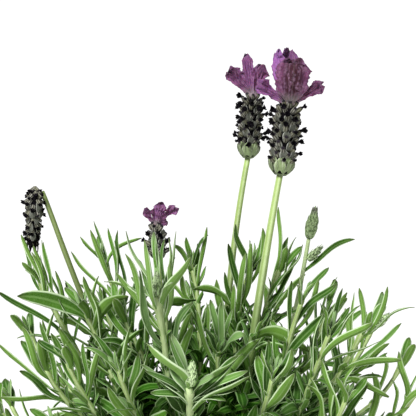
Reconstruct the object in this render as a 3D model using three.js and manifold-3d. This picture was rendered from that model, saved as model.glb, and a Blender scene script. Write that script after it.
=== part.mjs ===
// Potted spanish lavender: a plain clay pot with soil, a woody crown, leafy shoots and dark flower heads.
// Millimetres, +Z up. The origin is the centre of the pot's underside, and the photograph looks along +Y.

import * as THREE from 'three';
import { mergeVertices } from 'three/addons/utils/BufferGeometryUtils.js';
import Module from 'manifold-3d';

const wasm = await Module();
wasm.setup();

// Clearance between neighbouring pieces
const gap = 0.3;

// Pot
const potHeight = 125;
const potRimRadius = 70;
const potFootRadius = 50;
const potWall = 5;
const potFloor = 6;
const rimBand = 24;
const rimStep = 3.5;
const lipWall = 6.5;
const potRound = 2;
const potSides = 24;
const drainHoles = 4;
const drainRadius = 4;
const drainRing = 28;

// Soil
const soilTop = 112;
const soilLump = 1.5;
const soilDome = 2;
const soilSides = 16;

// Woody crown: a root collar that stands in the soil, and the branches that part above it
const collarRadius = 6.5;
const collarDepth = 24;
const collarSides = 8;
const crownHeight = 124;
const woodRadiusLow = 3;
const woodRadiusHigh = 2.1;
const woodSpread = 3;
const woodSag = 4;
const woodSides = 4;
const woodSpans = 2;

// Leafy shoots
const shootRadiusLow = 1.7;
const shootRadiusHigh = 1.1;
const shootLean = 0.45;
const shootSides = 4;
const shootSpans = 3;
const leafLength = 28;
const leafWidth = 2.9;
const leafThickness = 0.95;

// Flowers
const stalkSides = 6;
const stalkSpans = 5;
const spikeRadius = 6.4;
const bractThickness = 0.8;
const budColumns = 6;

// The photograph's viewpoint. Points are given as they are seen in the plane of the pot's axis,
// with their own depth, and are moved along the line of sight to that depth.
const viewDistance = 1100;
const viewTilt = THREE.MathUtils.degToRad(10);
const viewHeight = 259;

const up = new THREE.Vector3(0, 0, 1);
const mergeDistance = 1e-3;

// First seeds of the draws for spikes, crowns and stems
const spikeSeed = 20;
const crownSeed = 40;
const stemSeed = 100;

function seen([x, y, z]) {
  const nearness = 1 + y / viewDistance;
  return new THREE.Vector3(
    x * nearness,
    y,
    viewHeight + (z - viewHeight) * nearness - y * Math.tan(viewTilt),
  );
}

function vector([x, y, z]) {
  return new THREE.Vector3(x, y, z);
}

// Seeded draws between 0 and 1, the same each time (mulberry32)
function seededDraws(seed) {
  let state = seed >>> 0;
  return () => {
    state = (state + 0x6d2b79f5) >>> 0;
    let mixed = Math.imul(state ^ (state >>> 15), state | 1);
    mixed = (mixed + Math.imul(mixed ^ (mixed >>> 7), mixed | 61)) ^ mixed;
    return ((mixed ^ (mixed >>> 14)) >>> 0) / 4294967296;
  };
}

function between(draw, low, high) {
  return low + (high - low) * draw();
}

// Solids: a geometry's faces turned outwards, collapsed faces dropped
function signedVolume(points, faces) {
  return faces.reduce((sum, [a, b, c]) => sum + points[a].dot(points[b].clone().cross(points[c])), 0) / 6;
}

function solidFrom(points, faces) {
  const kept = faces.filter(([a, b, c]) => a !== b && b !== c && c !== a);
  const outward = signedVolume(points, kept) > 0 ? kept : kept.map(([a, b, c]) => [a, c, b]);
  return new wasm.Manifold(new wasm.Mesh({
    numProp: 3,
    vertProperties: new Float32Array(points.flatMap((point) => point.toArray())),
    triVerts: new Uint32Array(outward.flat()),
  }));
}

function solidOf(geometry) {
  const bare = geometry.clone();
  bare.deleteAttribute('normal');
  bare.deleteAttribute('uv');
  const merged = mergeVertices(bare, mergeDistance);
  const positions = merged.getAttribute('position');
  const points = Array.from({ length: positions.count }, (_, i) => (
    new THREE.Vector3().fromBufferAttribute(positions, i)
  ));
  const index = merged.getIndex().array;
  const faces = Array.from({ length: index.length / 3 }, (_, i) => [...index.slice(3 * i, 3 * i + 3)]);
  return solidFrom(points, faces);
}

function fuse(solids) {
  return solids.reduce((whole, solid) => whole.add(solid));
}

// The largest body of a fused solid: loose scraps go, and sealed hollows are filled
function mainBody(solid) {
  const bodies = solidOf(geometryOf(solid)).decompose();
  return bodies.sort((a, b) => b.volume() - a.volume())[0];
}

function geometryOf(solid) {
  const { numProp, vertProperties, triVerts } = solid.getMesh();
  const geometry = new THREE.BufferGeometry();
  geometry.setAttribute('position', new THREE.BufferAttribute(new Float32Array(vertProperties), numProp));
  geometry.setIndex(new THREE.BufferAttribute(new Uint32Array(triVerts), 1));
  return geometry;
}

// A closed skin over rings with equal numbers of points, flat at its start,
// and flat or drawn to a point at its end
function loft(rings, point = null) {
  const sides = rings[0].length;
  const points = rings.flat();
  const faces = [];
  for (let ring = 0; ring + 1 < rings.length; ring += 1) {
    for (let side = 0; side < sides; side += 1) {
      const here = ring * sides + side;
      const next = ring * sides + ((side + 1) % sides);
      faces.push([here, next, next + sides], [here, next + sides, here + sides]);
    }
  }
  const last = (rings.length - 1) * sides;
  for (let side = 1; side + 1 < sides; side += 1) {
    faces.push([0, side + 1, side]);
    if (!point) {
      faces.push([last, last + side, last + side + 1]);
    }
  }
  if (point) {
    points.push(point);
    for (let side = 0; side < sides; side += 1) {
      faces.push([last + side, last + ((side + 1) % sides), points.length - 1]);
    }
  }
  return solidFrom(points, faces);
}

// A thin curved blade: rows of points across it, thick in the middle and sharp at both edges,
// with its faces split into triangles alike on both sides
function sheet(rows, thickness) {
  const points = [];
  const columns = rows[0].points.length;
  const front = [];
  const back = [];
  rows.forEach(({ points: across, normal }) => {
    const half = normal.clone().multiplyScalar(thickness / 2);
    const frontRow = [];
    const backRow = [];
    across.forEach((point, column) => {
      const atEdge = column === 0 || column === columns - 1;
      frontRow.push(points.push(atEdge ? point : point.clone().add(half)) - 1);
      backRow.push(atEdge ? frontRow[column] : points.push(point.clone().sub(half)) - 1);
    });
    front.push(frontRow);
    back.push(backRow);
  });
  const faces = [];
  const end = rows.length - 1;
  for (let column = 0; column + 1 < columns; column += 1) {
    for (let row = 0; row < end; row += 1) {
      faces.push([front[row][column], front[row][column + 1], front[row + 1][column + 1]]);
      faces.push([front[row][column], front[row + 1][column + 1], front[row + 1][column]]);
      faces.push([back[row][column], back[row + 1][column + 1], back[row][column + 1]]);
      faces.push([back[row][column], back[row + 1][column], back[row + 1][column + 1]]);
    }
    faces.push([front[0][column], back[0][column + 1], front[0][column + 1]]);
    faces.push([front[0][column], back[0][column], back[0][column + 1]]);
    faces.push([front[end][column], front[end][column + 1], back[end][column + 1]]);
    faces.push([front[end][column], back[end][column + 1], back[end][column]]);
  }
  return solidFrom(points, faces);
}

// Stems: round tubes along a cubic curve
function crossAxes(tangent) {
  const side = new THREE.Vector3().crossVectors(tangent, up);
  if (side.length() < 0.05) {
    side.set(1, 0, 0);
  }
  side.normalize();
  return { side, rise: new THREE.Vector3().crossVectors(side, tangent).normalize() };
}

function ringAround(centre, tangent, radius, sides, turn = 0) {
  const { side, rise } = crossAxes(tangent);
  return Array.from({ length: sides }, (_, i) => {
    const angle = turn + (i / sides) * Math.PI * 2;
    return centre.clone()
      .addScaledVector(side, Math.cos(angle) * radius)
      .addScaledVector(rise, Math.sin(angle) * radius);
  });
}

function stem(curve, radiusLow, radiusHigh, sides, spans) {
  const rings = Array.from({ length: spans + 1 }, (_, i) => {
    const t = i / spans;
    const radius = THREE.MathUtils.lerp(radiusLow, radiusHigh, t);
    return ringAround(curve.getPoint(t), curve.getTangent(t), radius, sides);
  });
  return loft(rings);
}

// Woody branches. Each entry gives a branch's end and the green stems it carries:
// the first stem continues its end, the others leave its side lower down.
// A shoot's apex and its leaf tips are given as seen. A tip reads [x, z, width, depth from the stem's end],
// where the width and the depth can be left out, and pairs counts the leaf pairs added by rule.
const stemPlaces = [1, 0.8, 0.62, 0.46];

const branches = [
  {
    end: [-27, -3, 146],
    stems: [
      {
        name: 'leafy_shoot_left', apex: [-73, -8, 227.5], pairs: 2,
        tips: [
          [-80.8, 247.2], [-81.7, 243.7, 2.2], [-77, 239], [-74.8, 242.8, 2.4], [-72.7, 237.6, 3],
          [-71.8, 245], [-69.7, 243.7], [-65.8, 231.5], [-91, 223, 3, -6],
        ],
      },
      {
        name: 'leafy_shoot_left_low', apex: [-71, -22, 188.5], pairs: 1,
        tips: [
          [-82, 206.2], [-75.3, 204, 4], [-67.5, 213.2, 2], [-72.2, 208.8], [-91, 200.5, 2.6],
          [-82, 186.5, 4, -8], [-91, 176, 2.4, -6],
        ],
      },
      { name: 'leafy_shoot_left_skirt', apex: [-90, 12, 168], pairs: 3 },
    ],
  },
  {
    end: [-21, 11, 150],
    stems: [
      {
        name: 'leafy_shoot_left_tall', apex: [-45.2, 15, 235.5], pairs: 2,
        tips: [
          [-50.7, 249.4], [-49, 253.3], [-42.6, 250.3], [-40.4, 244.6, 2.4], [-37.8, 249],
          [-28.8, 246.8, 2.4], [-59.3, 239.8, 2.6],
        ],
      },
      { name: 'flower_3_stalk', stalk: 'flower3' },
      { name: 'leafy_shoot_left_back', apex: [-78, 38, 205], pairs: 3 },
    ],
  },
  {
    end: [-25, -19, 141],
    stems: [
      {
        name: 'leafy_shoot_front_left', apex: [-61, -42, 190.5], pairs: 2,
        tips: [[-63.6, 207, 4.2], [-68.8, 203.6], [-60.6, 198.3], [-53.3, 199.6, 2], [-45.6, 198.8, 2.6]],
      },
      {
        name: 'leafy_shoot_left_broad', apex: [-53.3, -16, 213.5], pairs: 2,
        tips: [
          [-61.5, 226.3, 4], [-53.3, 229.3], [-64.5, 219.7, 2], [-51.2, 222.3], [-47.3, 229.3, 2.2],
          [-82.6, 220, 6.5, -10],
        ],
      },
      { name: 'leafy_shoot_front_left_skirt', apex: [-66, -56, 160], pairs: 4 },
    ],
  },
  {
    end: [-11, -23, 144],
    stems: [
      {
        name: 'leafy_shoot_centre', apex: [-22.6, -45, 220], pairs: 1,
        tips: [
          [-22.4, 248.5, 3], [-27.5, 245], [-16.8, 245.9], [-13.8, 248.5], [-36.6, 239],
          [-38.7, 231.5], [-30.5, 231, 4], [-35.3, 249, 2.6], [-15.1, 235], [-9, 238, 4],
          [-5.6, 212.7, 3.2], [-5.6, 207, 3.2], [-44.7, 226.7, 4.2], [-6.5, 217, 3.4],
        ],
      },
      {
        name: 'leafy_shoot_front', apex: [-8.2, -66, 179.6], pairs: 2,
        tips: [
          [-26.2, 199.6, 3.8], [-29.7, 189.6, 3], [-15.5, 203.6, 2.6], [15.1, 194.8, 4],
          [18.5, 184.8, 3.6], [-22, 182, 4],
        ],
      },
      {
        name: 'leafy_shoot_front_inner', apex: [-39, -57, 187.5], pairs: 3,
        tips: [[-49, 204, 3], [-43.4, 180, 2.6], [-34, 207, 3], [-26, 196, 3.4]],
      },
      { name: 'leafy_shoot_front_skirt', apex: [-24, -84, 148], pairs: 4 },
    ],
  },
  {
    end: [-6, 5, 152],
    stems: [
      { name: 'flower_4_stalk', stalk: 'flower4' },
      {
        name: 'leafy_shoot_middle', apex: [-7.3, 10, 234], pairs: 2,
        tips: [
          [-8.2, 246.3], [-6, 243.3, 2.2], [-9, 239.4], [-0.9, 250.7, 2.6], [-11.2, 231, 4],
          [6.5, 218, 4, -8],
        ],
      },
      {
        name: 'leafy_shoot_middle_left', apex: [-37, -10, 212], pairs: 3,
        tips: [[-46, 224, 3.4], [-30, 229, 3.2], [-40, 231], [-27, 216, 3.2]],
      },
    ],
  },
  {
    end: [12, -20, 145],
    stems: [
      { name: 'flower_1_stalk', stalk: 'flower1' },
      {
        name: 'leafy_shoot_front_fan', apex: [4.5, -34, 196], pairs: 2,
        tips: [
          [-5.6, 214.5, 2.2], [-1.3, 218, 2.2], [2.6, 218.8, 2.2], [6, 217.5, 2.2], [10, 215, 2.2],
          [22.8, 201, 2.8, -8],
        ],
      },
      {
        name: 'leafy_shoot_front_right_inner', apex: [28, -62, 184], pairs: 3,
        tips: [[35.3, 197, 3], [25.8, 201, 3], [18.5, 190, 4.4], [38, 186, 3], [21, 172, 3.4]],
      },
      { name: 'leafy_shoot_front_right_skirt', apex: [26, -84, 150], pairs: 4 },
    ],
  },
  {
    end: [14, 2, 151],
    stems: [
      {
        name: 'leafy_shoot_right_tall', apex: [31.4, 4, 233], pairs: 2,
        tips: [
          [34.4, 246.3], [38.3, 237.6], [34, 223, 4, -8], [31.4, 259.4, 2], [38.3, 246.3, 2.2],
          [40.6, 242.8, 4],
        ],
      },
      {
        name: 'leafy_shoot_middle_right', apex: [18.9, -9, 233], pairs: 2,
        tips: [
          [12.9, 252.5, 3.4], [15.9, 239.4, 3], [8.6, 243.3], [19.8, 243.3], [23.7, 250.3, 2.4],
          [24.9, 248.5, 2.2], [10.8, 225.8], [7.7, 231, 2.6], [3.9, 227.6, 3.4],
        ],
      },
      { name: 'flower_2_stalk', stalk: 'flower2' },
    ],
  },
  {
    end: [28, -5, 143],
    stems: [
      {
        name: 'leafy_shoot_right', apex: [67, -26, 205], pairs: 2,
        tips: [
          [63.2, 222, 3], [77.8, 224.5, 2.6], [89, 215.3, 2.6], [79.6, 198.3], [83.9, 192.7],
          [79, 176, 4, -8],
        ],
      },
      {
        name: 'leafy_shoot_right_low', apex: [92, -20, 180], pairs: 3,
        tips: [[96, 198], [84, 196, 3], [70, 186, 3], [101, 187], [88, 170, 3]],
      },
      {
        name: 'leafy_shoot_right_bud', apex: [71.4, 4, 206], pairs: 3,
        tips: [[60, 215, 3], [84, 208, 3], [66, 224, 2.4]],
      },
    ],
  },
  {
    end: [25, -21, 141],
    stems: [
      {
        name: 'leafy_shoot_front_right', apex: [52.5, -50, 203.5], pairs: 2,
        tips: [
          [65.8, 215.8], [70, 209.7], [53.8, 215.8], [58.9, 223.6, 2], [74.8, 200.5, 2.6],
          [49.9, 212.3, 2.4],
        ],
      },
      {
        name: 'leafy_shoot_front_right_low', apex: [60, -64, 174], pairs: 3,
        tips: [[64.5, 190, 3], [50, 192, 3.4], [70, 180, 3], [44, 184, 3]],
      },
      {
        name: 'leafy_shoot_right_broad', apex: [40.9, -38, 218.8], pairs: 2,
        tips: [[49, 227.6, 2.4], [54.6, 226.7], [50.3, 212.7, 4], [42.6, 194.8, 5.5, -8], [36, 227, 3]],
      },
      { name: 'leafy_shoot_right_skirt', apex: [74, -50, 156], pairs: 4 },
    ],
  },
  {
    end: [22, 14, 147],
    stems: [
      {
        name: 'leafy_shoot_right_back', apex: [52, 20, 213], pairs: 3,
        tips: [[48, 226], [60, 222, 3], [56, 229, 2.4], [68, 214, 3]],
      },
      { name: 'flower_5_stalk', stalk: 'flower5', tips: [[63.4, 245, 2.6, -3]] },
      { name: 'leafy_shoot_right_back_low', apex: [84, 30, 190], pairs: 3 },
    ],
  },
  {
    end: [11, 25, 144],
    stems: [
      { name: 'leafy_shoot_back_right', apex: [30, 48, 218], pairs: 4 },
      { name: 'leafy_shoot_back_right_low', apex: [56, 66, 186], pairs: 4 },
      { name: 'leafy_shoot_back_right_skirt', apex: [26, 84, 178], pairs: 3 },
    ],
  },
  {
    end: [-9, 26, 144],
    stems: [
      { name: 'leafy_shoot_back', apex: [-8, 52, 220], pairs: 4 },
      { name: 'leafy_shoot_back_low', apex: [-4, 82, 192], pairs: 4 },
      { name: 'leafy_shoot_back_skirt', apex: [-30, 84, 180], pairs: 3 },
    ],
  },
  {
    end: [-23, 21, 142],
    stems: [
      { name: 'leafy_shoot_back_left', apex: [-44, 46, 214], pairs: 4 },
      { name: 'leafy_shoot_back_left_low', apex: [-62, 66, 182], pairs: 4 },
      { name: 'leafy_shoot_back_left_skirt', apex: [-86, 40, 172], pairs: 3 },
    ],
  },
];

// Flower stalks: two handles that bend the curve, and its end under the flower, all as seen
const stalks = {
  flower1: { bends: [[17, -30, 190], [26, -20, 247]], end: [30.8, -14, 273.2], radii: [1.9, 1.25] },
  flower2: { bends: [[4, 7, 192], [10.5, 4, 245]], end: [17, 5, 280.6], radii: [1.5, 1.1] },
  flower3: { bends: [[-52, 6, 200], [-68, 11, 262]], end: [-72.2, 9.8, 267.8], radii: [1.3, 0.9] },
  flower4: { bends: [[-17, 2, 200], [-21, -4, 218]], end: [-21.6, -4, 236.6], radii: [1.4, 1.1] },
  flower5: { bends: [[36, 18, 195], [39.5, 21, 222]], end: [43.4, 22, 245.4], radii: [1.2, 0.8] },
};

// Flower spikes: base and top as seen, radius, rings of florets and florets in each ring
const spikes = {
  flower_1: {
    base: [30.9, -14, 273.6], top: [34.6, -14, 303.4], radius: spikeRadius, rings: 5, perRing: 6, open: 0.2,
  },
  flower_2: {
    base: [17.1, 5, 281], top: [19, 5, 306.6], radius: 5.4, rings: 5, perRing: 5, open: 0.2,
  },
  flower_3: {
    base: [-74.3, 8, 267.6], top: [-75.6, 8, 243], radius: 4.2, rings: 4, perRing: 5, open: 0.2,
  },
  flower_4: {
    base: [-21.6, -4, 237], top: [-22.2, -4, 251], radius: 4.6, rings: 2, perRing: 5, open: 0.35,
  },
};

// Crown bracts: tip as seen, width, outward bulge and the way the upper face turns (as seen)
const crowns = {
  flower_1: [
    { tip: [37.6, -21, 323], width: 14, bulge: -2.6, facing: [0.1, -1, 0.2], columns: 5 },
    { tip: [29.4, -11, 328.4], width: 6, bulge: -1, facing: [-0.4, -1, 0], columns: 3 },
    { tip: [34.5, -7, 329.4], width: 9.5, bulge: 1, facing: [0.1, -1, 0], columns: 5 },
    { tip: [19.4, -17, 314], width: 6.5, bulge: 0.8, facing: [-0.3, -0.8, 0.6], columns: 3 },
    { tip: [50.8, -13, 314], width: 6, bulge: -1, facing: [0.3, -0.8, 0.6], columns: 3 },
    { tip: [40, 0, 323], width: 8, bulge: 1, facing: [0, 1, 0.2], columns: 3 },
  ],
  flower_2: [
    { tip: [7.6, 1, 319.8], width: 7, bulge: 1.2, facing: [-0.4, -1, 0.3], columns: 5 },
    { tip: [16.8, 5, 325.6], width: 5.4, bulge: 0.8, facing: [0, -1, 0], columns: 3 },
    { tip: [24.4, 6, 319.6], width: 7, bulge: 1, facing: [0.3, -1, 0.2], columns: 5 },
    { tip: [14, 11, 319], width: 8, bulge: 1, facing: [0, 1, 0.3], columns: 3 },
  ],
  flower_4: [
    { tip: [-27.4, -6, 258.6], width: 3, bulge: 1, facing: [-0.5, -1, 0.2], columns: 3 },
    { tip: [-24, -5, 259.6], width: 3.6, bulge: 0.6, facing: [-0.1, -1, 0], columns: 3 },
    { tip: [-20.4, -4, 262], width: 5, bulge: -0.8, facing: [0.1, -1, 0], columns: 3 },
    { tip: [-13.4, -5, 259.6], width: 4.2, bulge: 0.8, facing: [0.4, -1, 0.3], columns: 3 },
    { tip: [-20, 1, 258.5], width: 6, bulge: 0.8, facing: [0, 1, 0.2], columns: 3 },
  ],
};

// Buds: base and top as seen, and radius
const buds = {
  bud_5: { base: [43.6, 22, 245.8], top: [46.4, 22, 260.4], radius: 3.2, colour: 0x77805f },
  bud_5_side: { base: [43.3, 21.6, 236.2], top: [49, 21.4, 242], radius: 1.6, colour: 0x86985f },
  bud_6: { base: [-22.5, -45.2, 220.9], top: [-22.2, -45, 231.4], radius: 1.9, colour: 0x8aa860 },
  bud_7: { base: [-7.8, -66.2, 180.6], top: [-6.8, -66, 191], radius: 3.1, colour: 0x9fc07c },
  bud_8: { base: [72, 4, 206.8], top: [78.4, 4, 212], radius: 1.7, colour: 0xb9c9a0 },
};

// Curves
function woodCurve(branch) {
  const end = vector(branch.end);
  const foot = new THREE.Vector3(end.x, end.y, 0).normalize().multiplyScalar(woodSpread);
  foot.z = crownHeight - woodRadiusLow * 2;
  const sag = new THREE.Vector3(0, 0, -woodSag);
  return new THREE.CubicBezierCurve3(
    foot,
    foot.clone().lerp(end, 1 / 3).add(sag),
    foot.clone().lerp(end, 2 / 3).add(sag),
    end,
  );
}

// A side stem starts on the side of the branch that faces its way
const sideStart = 0.8;

function stemStart(limb, share, towards) {
  const start = limb.getPoint(share);
  const tangent = limb.getTangent(share);
  const facing = towards.clone().sub(start);
  facing.addScaledVector(tangent, -facing.dot(tangent)).normalize();
  return start.addScaledVector(facing, share < 1 ? woodRadiusHigh * sideStart : 0);
}

const shootHandle = 0.35;

function shootCurve(limb, share, apexSeen) {
  const apex = seen(apexSeen);
  const start = stemStart(limb, share, apex);
  const reach = start.distanceTo(apex);
  const outward = new THREE.Vector3(apex.x, apex.y, 0).normalize();
  const leaving = limb.getTangent(share).lerp(apex.clone().sub(start).normalize(), 0.7).normalize();
  const arriving = up.clone().addScaledVector(outward, shootLean).normalize();
  return new THREE.CubicBezierCurve3(
    start,
    start.clone().addScaledVector(leaving, reach * shootHandle),
    apex.clone().addScaledVector(arriving, -reach * shootHandle),
    apex,
  );
}

function stalkCurve(limb, share, { bends, end }) {
  const start = stemStart(limb, share, seen(bends[0]));
  return new THREE.CubicBezierCurve3(start, seen(bends[0]), seen(bends[1]), seen(end));
}

// A leaf's midline bends from its base on the stem to its tip. Its upper face looks to the stem.
// Three-sided sections keep the blade thick enough along its keel.
const outlines = {
  plain: [[0, 0.42], [0.62, 1]],
  fine: [[0, 0.4], [0.36, 0.9], [0.76, 0.92]],
  broad: [[0, 0.28], [0.26, 0.78], [0.54, 1], [0.82, 0.76]],
};
const broadLeaf = 3.9;
const fineLeaf = 3.5;
const leastLeaving = 0.6;

function leafFrame(tangent, axis, radial, roll) {
  const normal = axis.clone().multiplyScalar(tangent.dot(radial))
    .addScaledVector(radial, -tangent.dot(axis));
  normal.addScaledVector(tangent, -normal.dot(tangent)).normalize().applyAxisAngle(tangent, roll);
  return { normal, side: new THREE.Vector3().crossVectors(tangent, normal) };
}

function leafSolid({ base, bend, tip, axis, width, roll, outline = 'fine' }, grown = 0) {
  const curve = new THREE.QuadraticBezierCurve3(base, bend, tip);
  const reach = tip.clone().sub(base);
  const radial = reach.addScaledVector(axis, -reach.dot(axis)).normalize();
  const sections = outlines[width >= broadLeaf ? 'broad' : outline];
  const waved = width >= broadLeaf ? 0.12 * width : 0;
  const rings = sections.map(([s, share], i) => {
    const centre = curve.getPoint(s);
    const { normal, side } = leafFrame(curve.getTangent(s), axis, radial, roll);
    const half = (share * width) / 2 + grown;
    const thick = leafThickness * (s === 0 ? 0.7 : 1) + grown;
    const wave = i % 2 ? waved : -waved;
    return [
      centre.clone().addScaledVector(side, -half).addScaledVector(normal, grown + wave),
      centre.clone().addScaledVector(normal, -thick),
      centre.clone().addScaledVector(side, half).addScaledVector(normal, grown - wave),
    ];
  });
  return loft(rings, curve.getPoint(1).addScaledVector(curve.getTangent(1), grown));
}

// The outer part of a leaf, past where it leaves its stem
function outerLeaf(leaf) {
  const clearOfStem = 0.3;
  const curve = new THREE.QuadraticBezierCurve3(leaf.base, leaf.bend, leaf.tip);
  const bend = leaf.bend.clone().lerp(leaf.tip, clearOfStem);
  return { ...leaf, base: curve.getPoint(clearOfStem), bend };
}

// A leaf whose tip is set: it leaves the stem where its length comes out nearest the usual one,
// and apart from the leaves before it
const tipDepths = [0, -4, 4, -8, 8, -12, 12, -16, 16];
const leafSpacing = 3.2;
const mostTwist = 0.9;
const viewer = new THREE.Vector3(0, -Math.cos(viewTilt), Math.sin(viewTilt));

// The turn about its own length that brings a leaf's nearer face towards the viewer
function twistToViewer(reach, axis, radial) {
  const along = reach.clone().normalize();
  const { normal, side } = leafFrame(along, axis, radial, 0);
  const turn = Math.atan(-viewer.dot(side) / viewer.dot(normal));
  return THREE.MathUtils.clamp(turn, -mostTwist, mostTwist);
}

function leafPlace(curve, tip, taken) {
  const length = curve.getLength();
  const cost = (t) => {
    const reach = tip.clone().sub(curve.getPoint(t));
    const turn = Math.max(0, reach.angleTo(curve.getTangent(t)) - 1.1);
    const crowding = taken.reduce((sum, other) => (
      sum + Math.max(0, leafSpacing - Math.abs(other - t) * length)
    ), 0);
    return Math.abs(reach.length() - leafLength) + 20 * turn + 4 * crowding;
  };
  const places = Array.from({ length: 20 }, (_, i) => 0.2 + 0.04 * i);
  return places.reduce((best, t) => (cost(t) < cost(best) ? t : best));
}

function leafToTip({ curve, depth: shootDepth, taken, draw }, [x, z, width = leafWidth, depth = 0]) {
  const ownDepth = depth || between(draw, -8, 8);
  const loose = between(draw, -0.4, 0.4);
  const arch = between(draw, 0.3, 0.42);
  const t = leafPlace(curve, seen([x, shootDepth + ownDepth, z]), taken);
  taken.push(t);
  const base = curve.getPoint(t);
  const axis = curve.getTangent(t);
  return tipDepths.map((shift) => {
    const tip = seen([x, shootDepth + ownDepth + shift, z]);
    const reach = tip.clone().sub(base);
    const radial = reach.clone().addScaledVector(axis, -reach.dot(axis)).normalize();
    const leaving = Math.max(leastLeaving, reach.angleTo(axis) * 0.75);
    const bend = base.clone()
      .addScaledVector(axis, Math.cos(leaving) * arch * reach.length())
      .addScaledVector(radial, Math.sin(leaving) * arch * reach.length());
    const roll = twistToViewer(reach, axis, radial) + loose;
    return { base, bend, tip, axis, width, roll, outline: width > fineLeaf ? 'fine' : 'plain' };
  });
}

// Leaves by rule: opposite pairs up the stem, each turned a quarter from the last,
// long and spreading low down, short and upright at the top
const pairTurns = [0, 0.4, -0.4, 0.8, -0.8];

function pairLeaf(curve, rank, pairs, half, draw) {
  const height = 1 - rank / pairs;
  const t = THREE.MathUtils.lerp(0.34, 0.97, height) + between(draw, -0.02, 0.02);
  const length = leafLength * THREE.MathUtils.lerp(1.05, 0.62, height) * between(draw, 0.85, 1.15);
  const leaving = THREE.MathUtils.lerp(0.85, leastLeaving, height) * between(draw, 0.9, 1.15);
  const spread = THREE.MathUtils.lerp(1.15, 0.4, height) * between(draw, 0.85, 1.15);
  const width = leafWidth * between(draw, 0.85, 1.35);
  const turn = rank * (Math.PI / 2) + half * Math.PI + between(draw, -0.35, 0.35);
  const curl = between(draw, -0.15, 0.45);
  const roll = between(draw, -0.4, 0.4);
  const base = curve.getPoint(t);
  const axis = curve.getTangent(t);
  const { side, rise } = crossAxes(axis);
  return pairTurns.map((shift) => {
    const radial = side.clone().multiplyScalar(Math.cos(turn + shift))
      .addScaledVector(rise, Math.sin(turn + shift));
    const aim = (angle) => axis.clone().multiplyScalar(Math.cos(angle))
      .addScaledVector(radial, Math.sin(angle));
    const bend = base.clone().addScaledVector(aim(leaving), length * 0.4);
    const tip = bend.clone().addScaledVector(aim(spread + curl), length * 0.6);
    return { base, bend, tip, axis, width, roll, outline: 'plain' };
  });
}

// What is already placed, so that a new leaf can be kept clear of the other nodes
const placed = [];

function boxesMeet(a, b) {
  return [0, 1, 2].every((i) => a.min[i] < b.max[i] && b.min[i] < a.max[i]);
}

function place(node, solid) {
  placed.push({ node, solid, box: solid.boundingBox() });
  return solid;
}

function crossesAny(solid, others) {
  const box = solid.boundingBox();
  return others.some((other) => {
    if (!boxesMeet(box, other.box)) {
      return false;
    }
    const shared = solid.intersect(other.solid);
    const crosses = !shared.isEmpty();
    shared.delete();
    return crosses;
  });
}

function crossesOthers(node, solid) {
  return crossesAny(solid, placed.filter((other) => other.node !== node));
}

// The first form of a leaf that is clear of every other node and of its own shoot's leaves,
// or else, where it may cross its own shoot, clear of the other nodes only
function clearLeaf(node, forms, mayCrossOwn) {
  const free = forms.filter((leaf) => !crossesOthers(node, leafSolid(leaf, gap)));
  const own = placed.filter((other) => other.node === node);
  const form = free.find((leaf) => !crossesAny(leafSolid(outerLeaf(leaf)), own))
    ?? (mayCrossOwn ? free[0] : undefined);
  return form ? place(node, leafSolid(form)) : null;
}

// Pot and soil, turned from their profiles
function turned(profile, sides) {
  const points = profile.map(([radius, height]) => new THREE.Vector2(radius, height));
  return new THREE.LatheGeometry(points, sides).rotateX(Math.PI / 2);
}

function upright(radius, low, high, sides, x = 0, y = 0) {
  const geometry = new THREE.CylinderGeometry(radius, radius, high - low, sides);
  return solidOf(geometry.rotateX(Math.PI / 2).translate(x, y, (low + high) / 2));
}

const bandFoot = potHeight - rimBand;
const bandFootRadius = potRimRadius - rimStep;
const innerTop = potRimRadius - lipWall;
const innerFloor = THREE.MathUtils.lerp(potFootRadius, bandFootRadius, potFloor / bandFoot) - potWall;
const innerSlope = (innerTop - innerFloor) / (potHeight - potFloor);

function buildPot() {
  const body = solidOf(turned([
    [0, 0],
    [potFootRadius - potRound, 0],
    [potFootRadius, potRound],
    [bandFootRadius, bandFoot],
    [potRimRadius - potRound / 2, bandFoot + potRound / 2],
    [potRimRadius, potHeight - potRound],
    [potRimRadius - potRound, potHeight],
    [innerTop + potRound / 2, potHeight],
    [innerTop - potRound * innerSlope, potHeight - potRound],
    [innerFloor + 2 * potRound * innerSlope, potFloor + 2 * potRound],
    [innerFloor - 2 * potRound, potFloor],
    [0, potFloor],
  ], potSides));
  const holes = Array.from({ length: drainHoles }, (_, i) => {
    const angle = ((i + 0.5) / drainHoles) * Math.PI * 2;
    const x = Math.cos(angle) * drainRing;
    const y = Math.sin(angle) * drainRing;
    return upright(drainRadius, -1, potFloor + 1, 8, x, y);
  });
  return holes.reduce((pot, hole) => pot.subtract(hole), body);
}

function buildSoil() {
  const radiusAt = (height) => (
    (innerFloor + innerSlope * (height - potFloor)) * Math.cos(Math.PI / potSides) - 2 * gap
  );
  const topRadius = radiusAt(soilTop);
  const geometry = turned([
    [0, potFloor + gap],
    [radiusAt(potFloor) - 2.5 * potRound, potFloor + gap],
    [radiusAt(potFloor + 2.5 * potRound), potFloor + 2.5 * potRound],
    [topRadius, soilTop],
    [topRadius * 0.72, soilTop + soilDome / 2],
    [topRadius * 0.4, soilTop + soilDome],
    [0, soilTop + soilDome],
  ], soilSides);
  const position = geometry.getAttribute('position');
  for (let i = 0; i < position.count; i += 1) {
    const x = position.getX(i);
    const y = position.getY(i);
    const z = position.getZ(i);
    const lump = soilLump * Math.sin(x * 0.23 + 1) * Math.cos(y * 0.27) + 0.5 * Math.sin((x + y) * 0.6);
    position.setZ(i, z > soilTop - 1 ? z + lump : z);
  }
  const hole = upright(collarRadius + 1.1 * gap, soilTop - collarDepth - gap, soilTop + 20, collarSides);
  return solidOf(geometry).subtract(hole);
}

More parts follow.
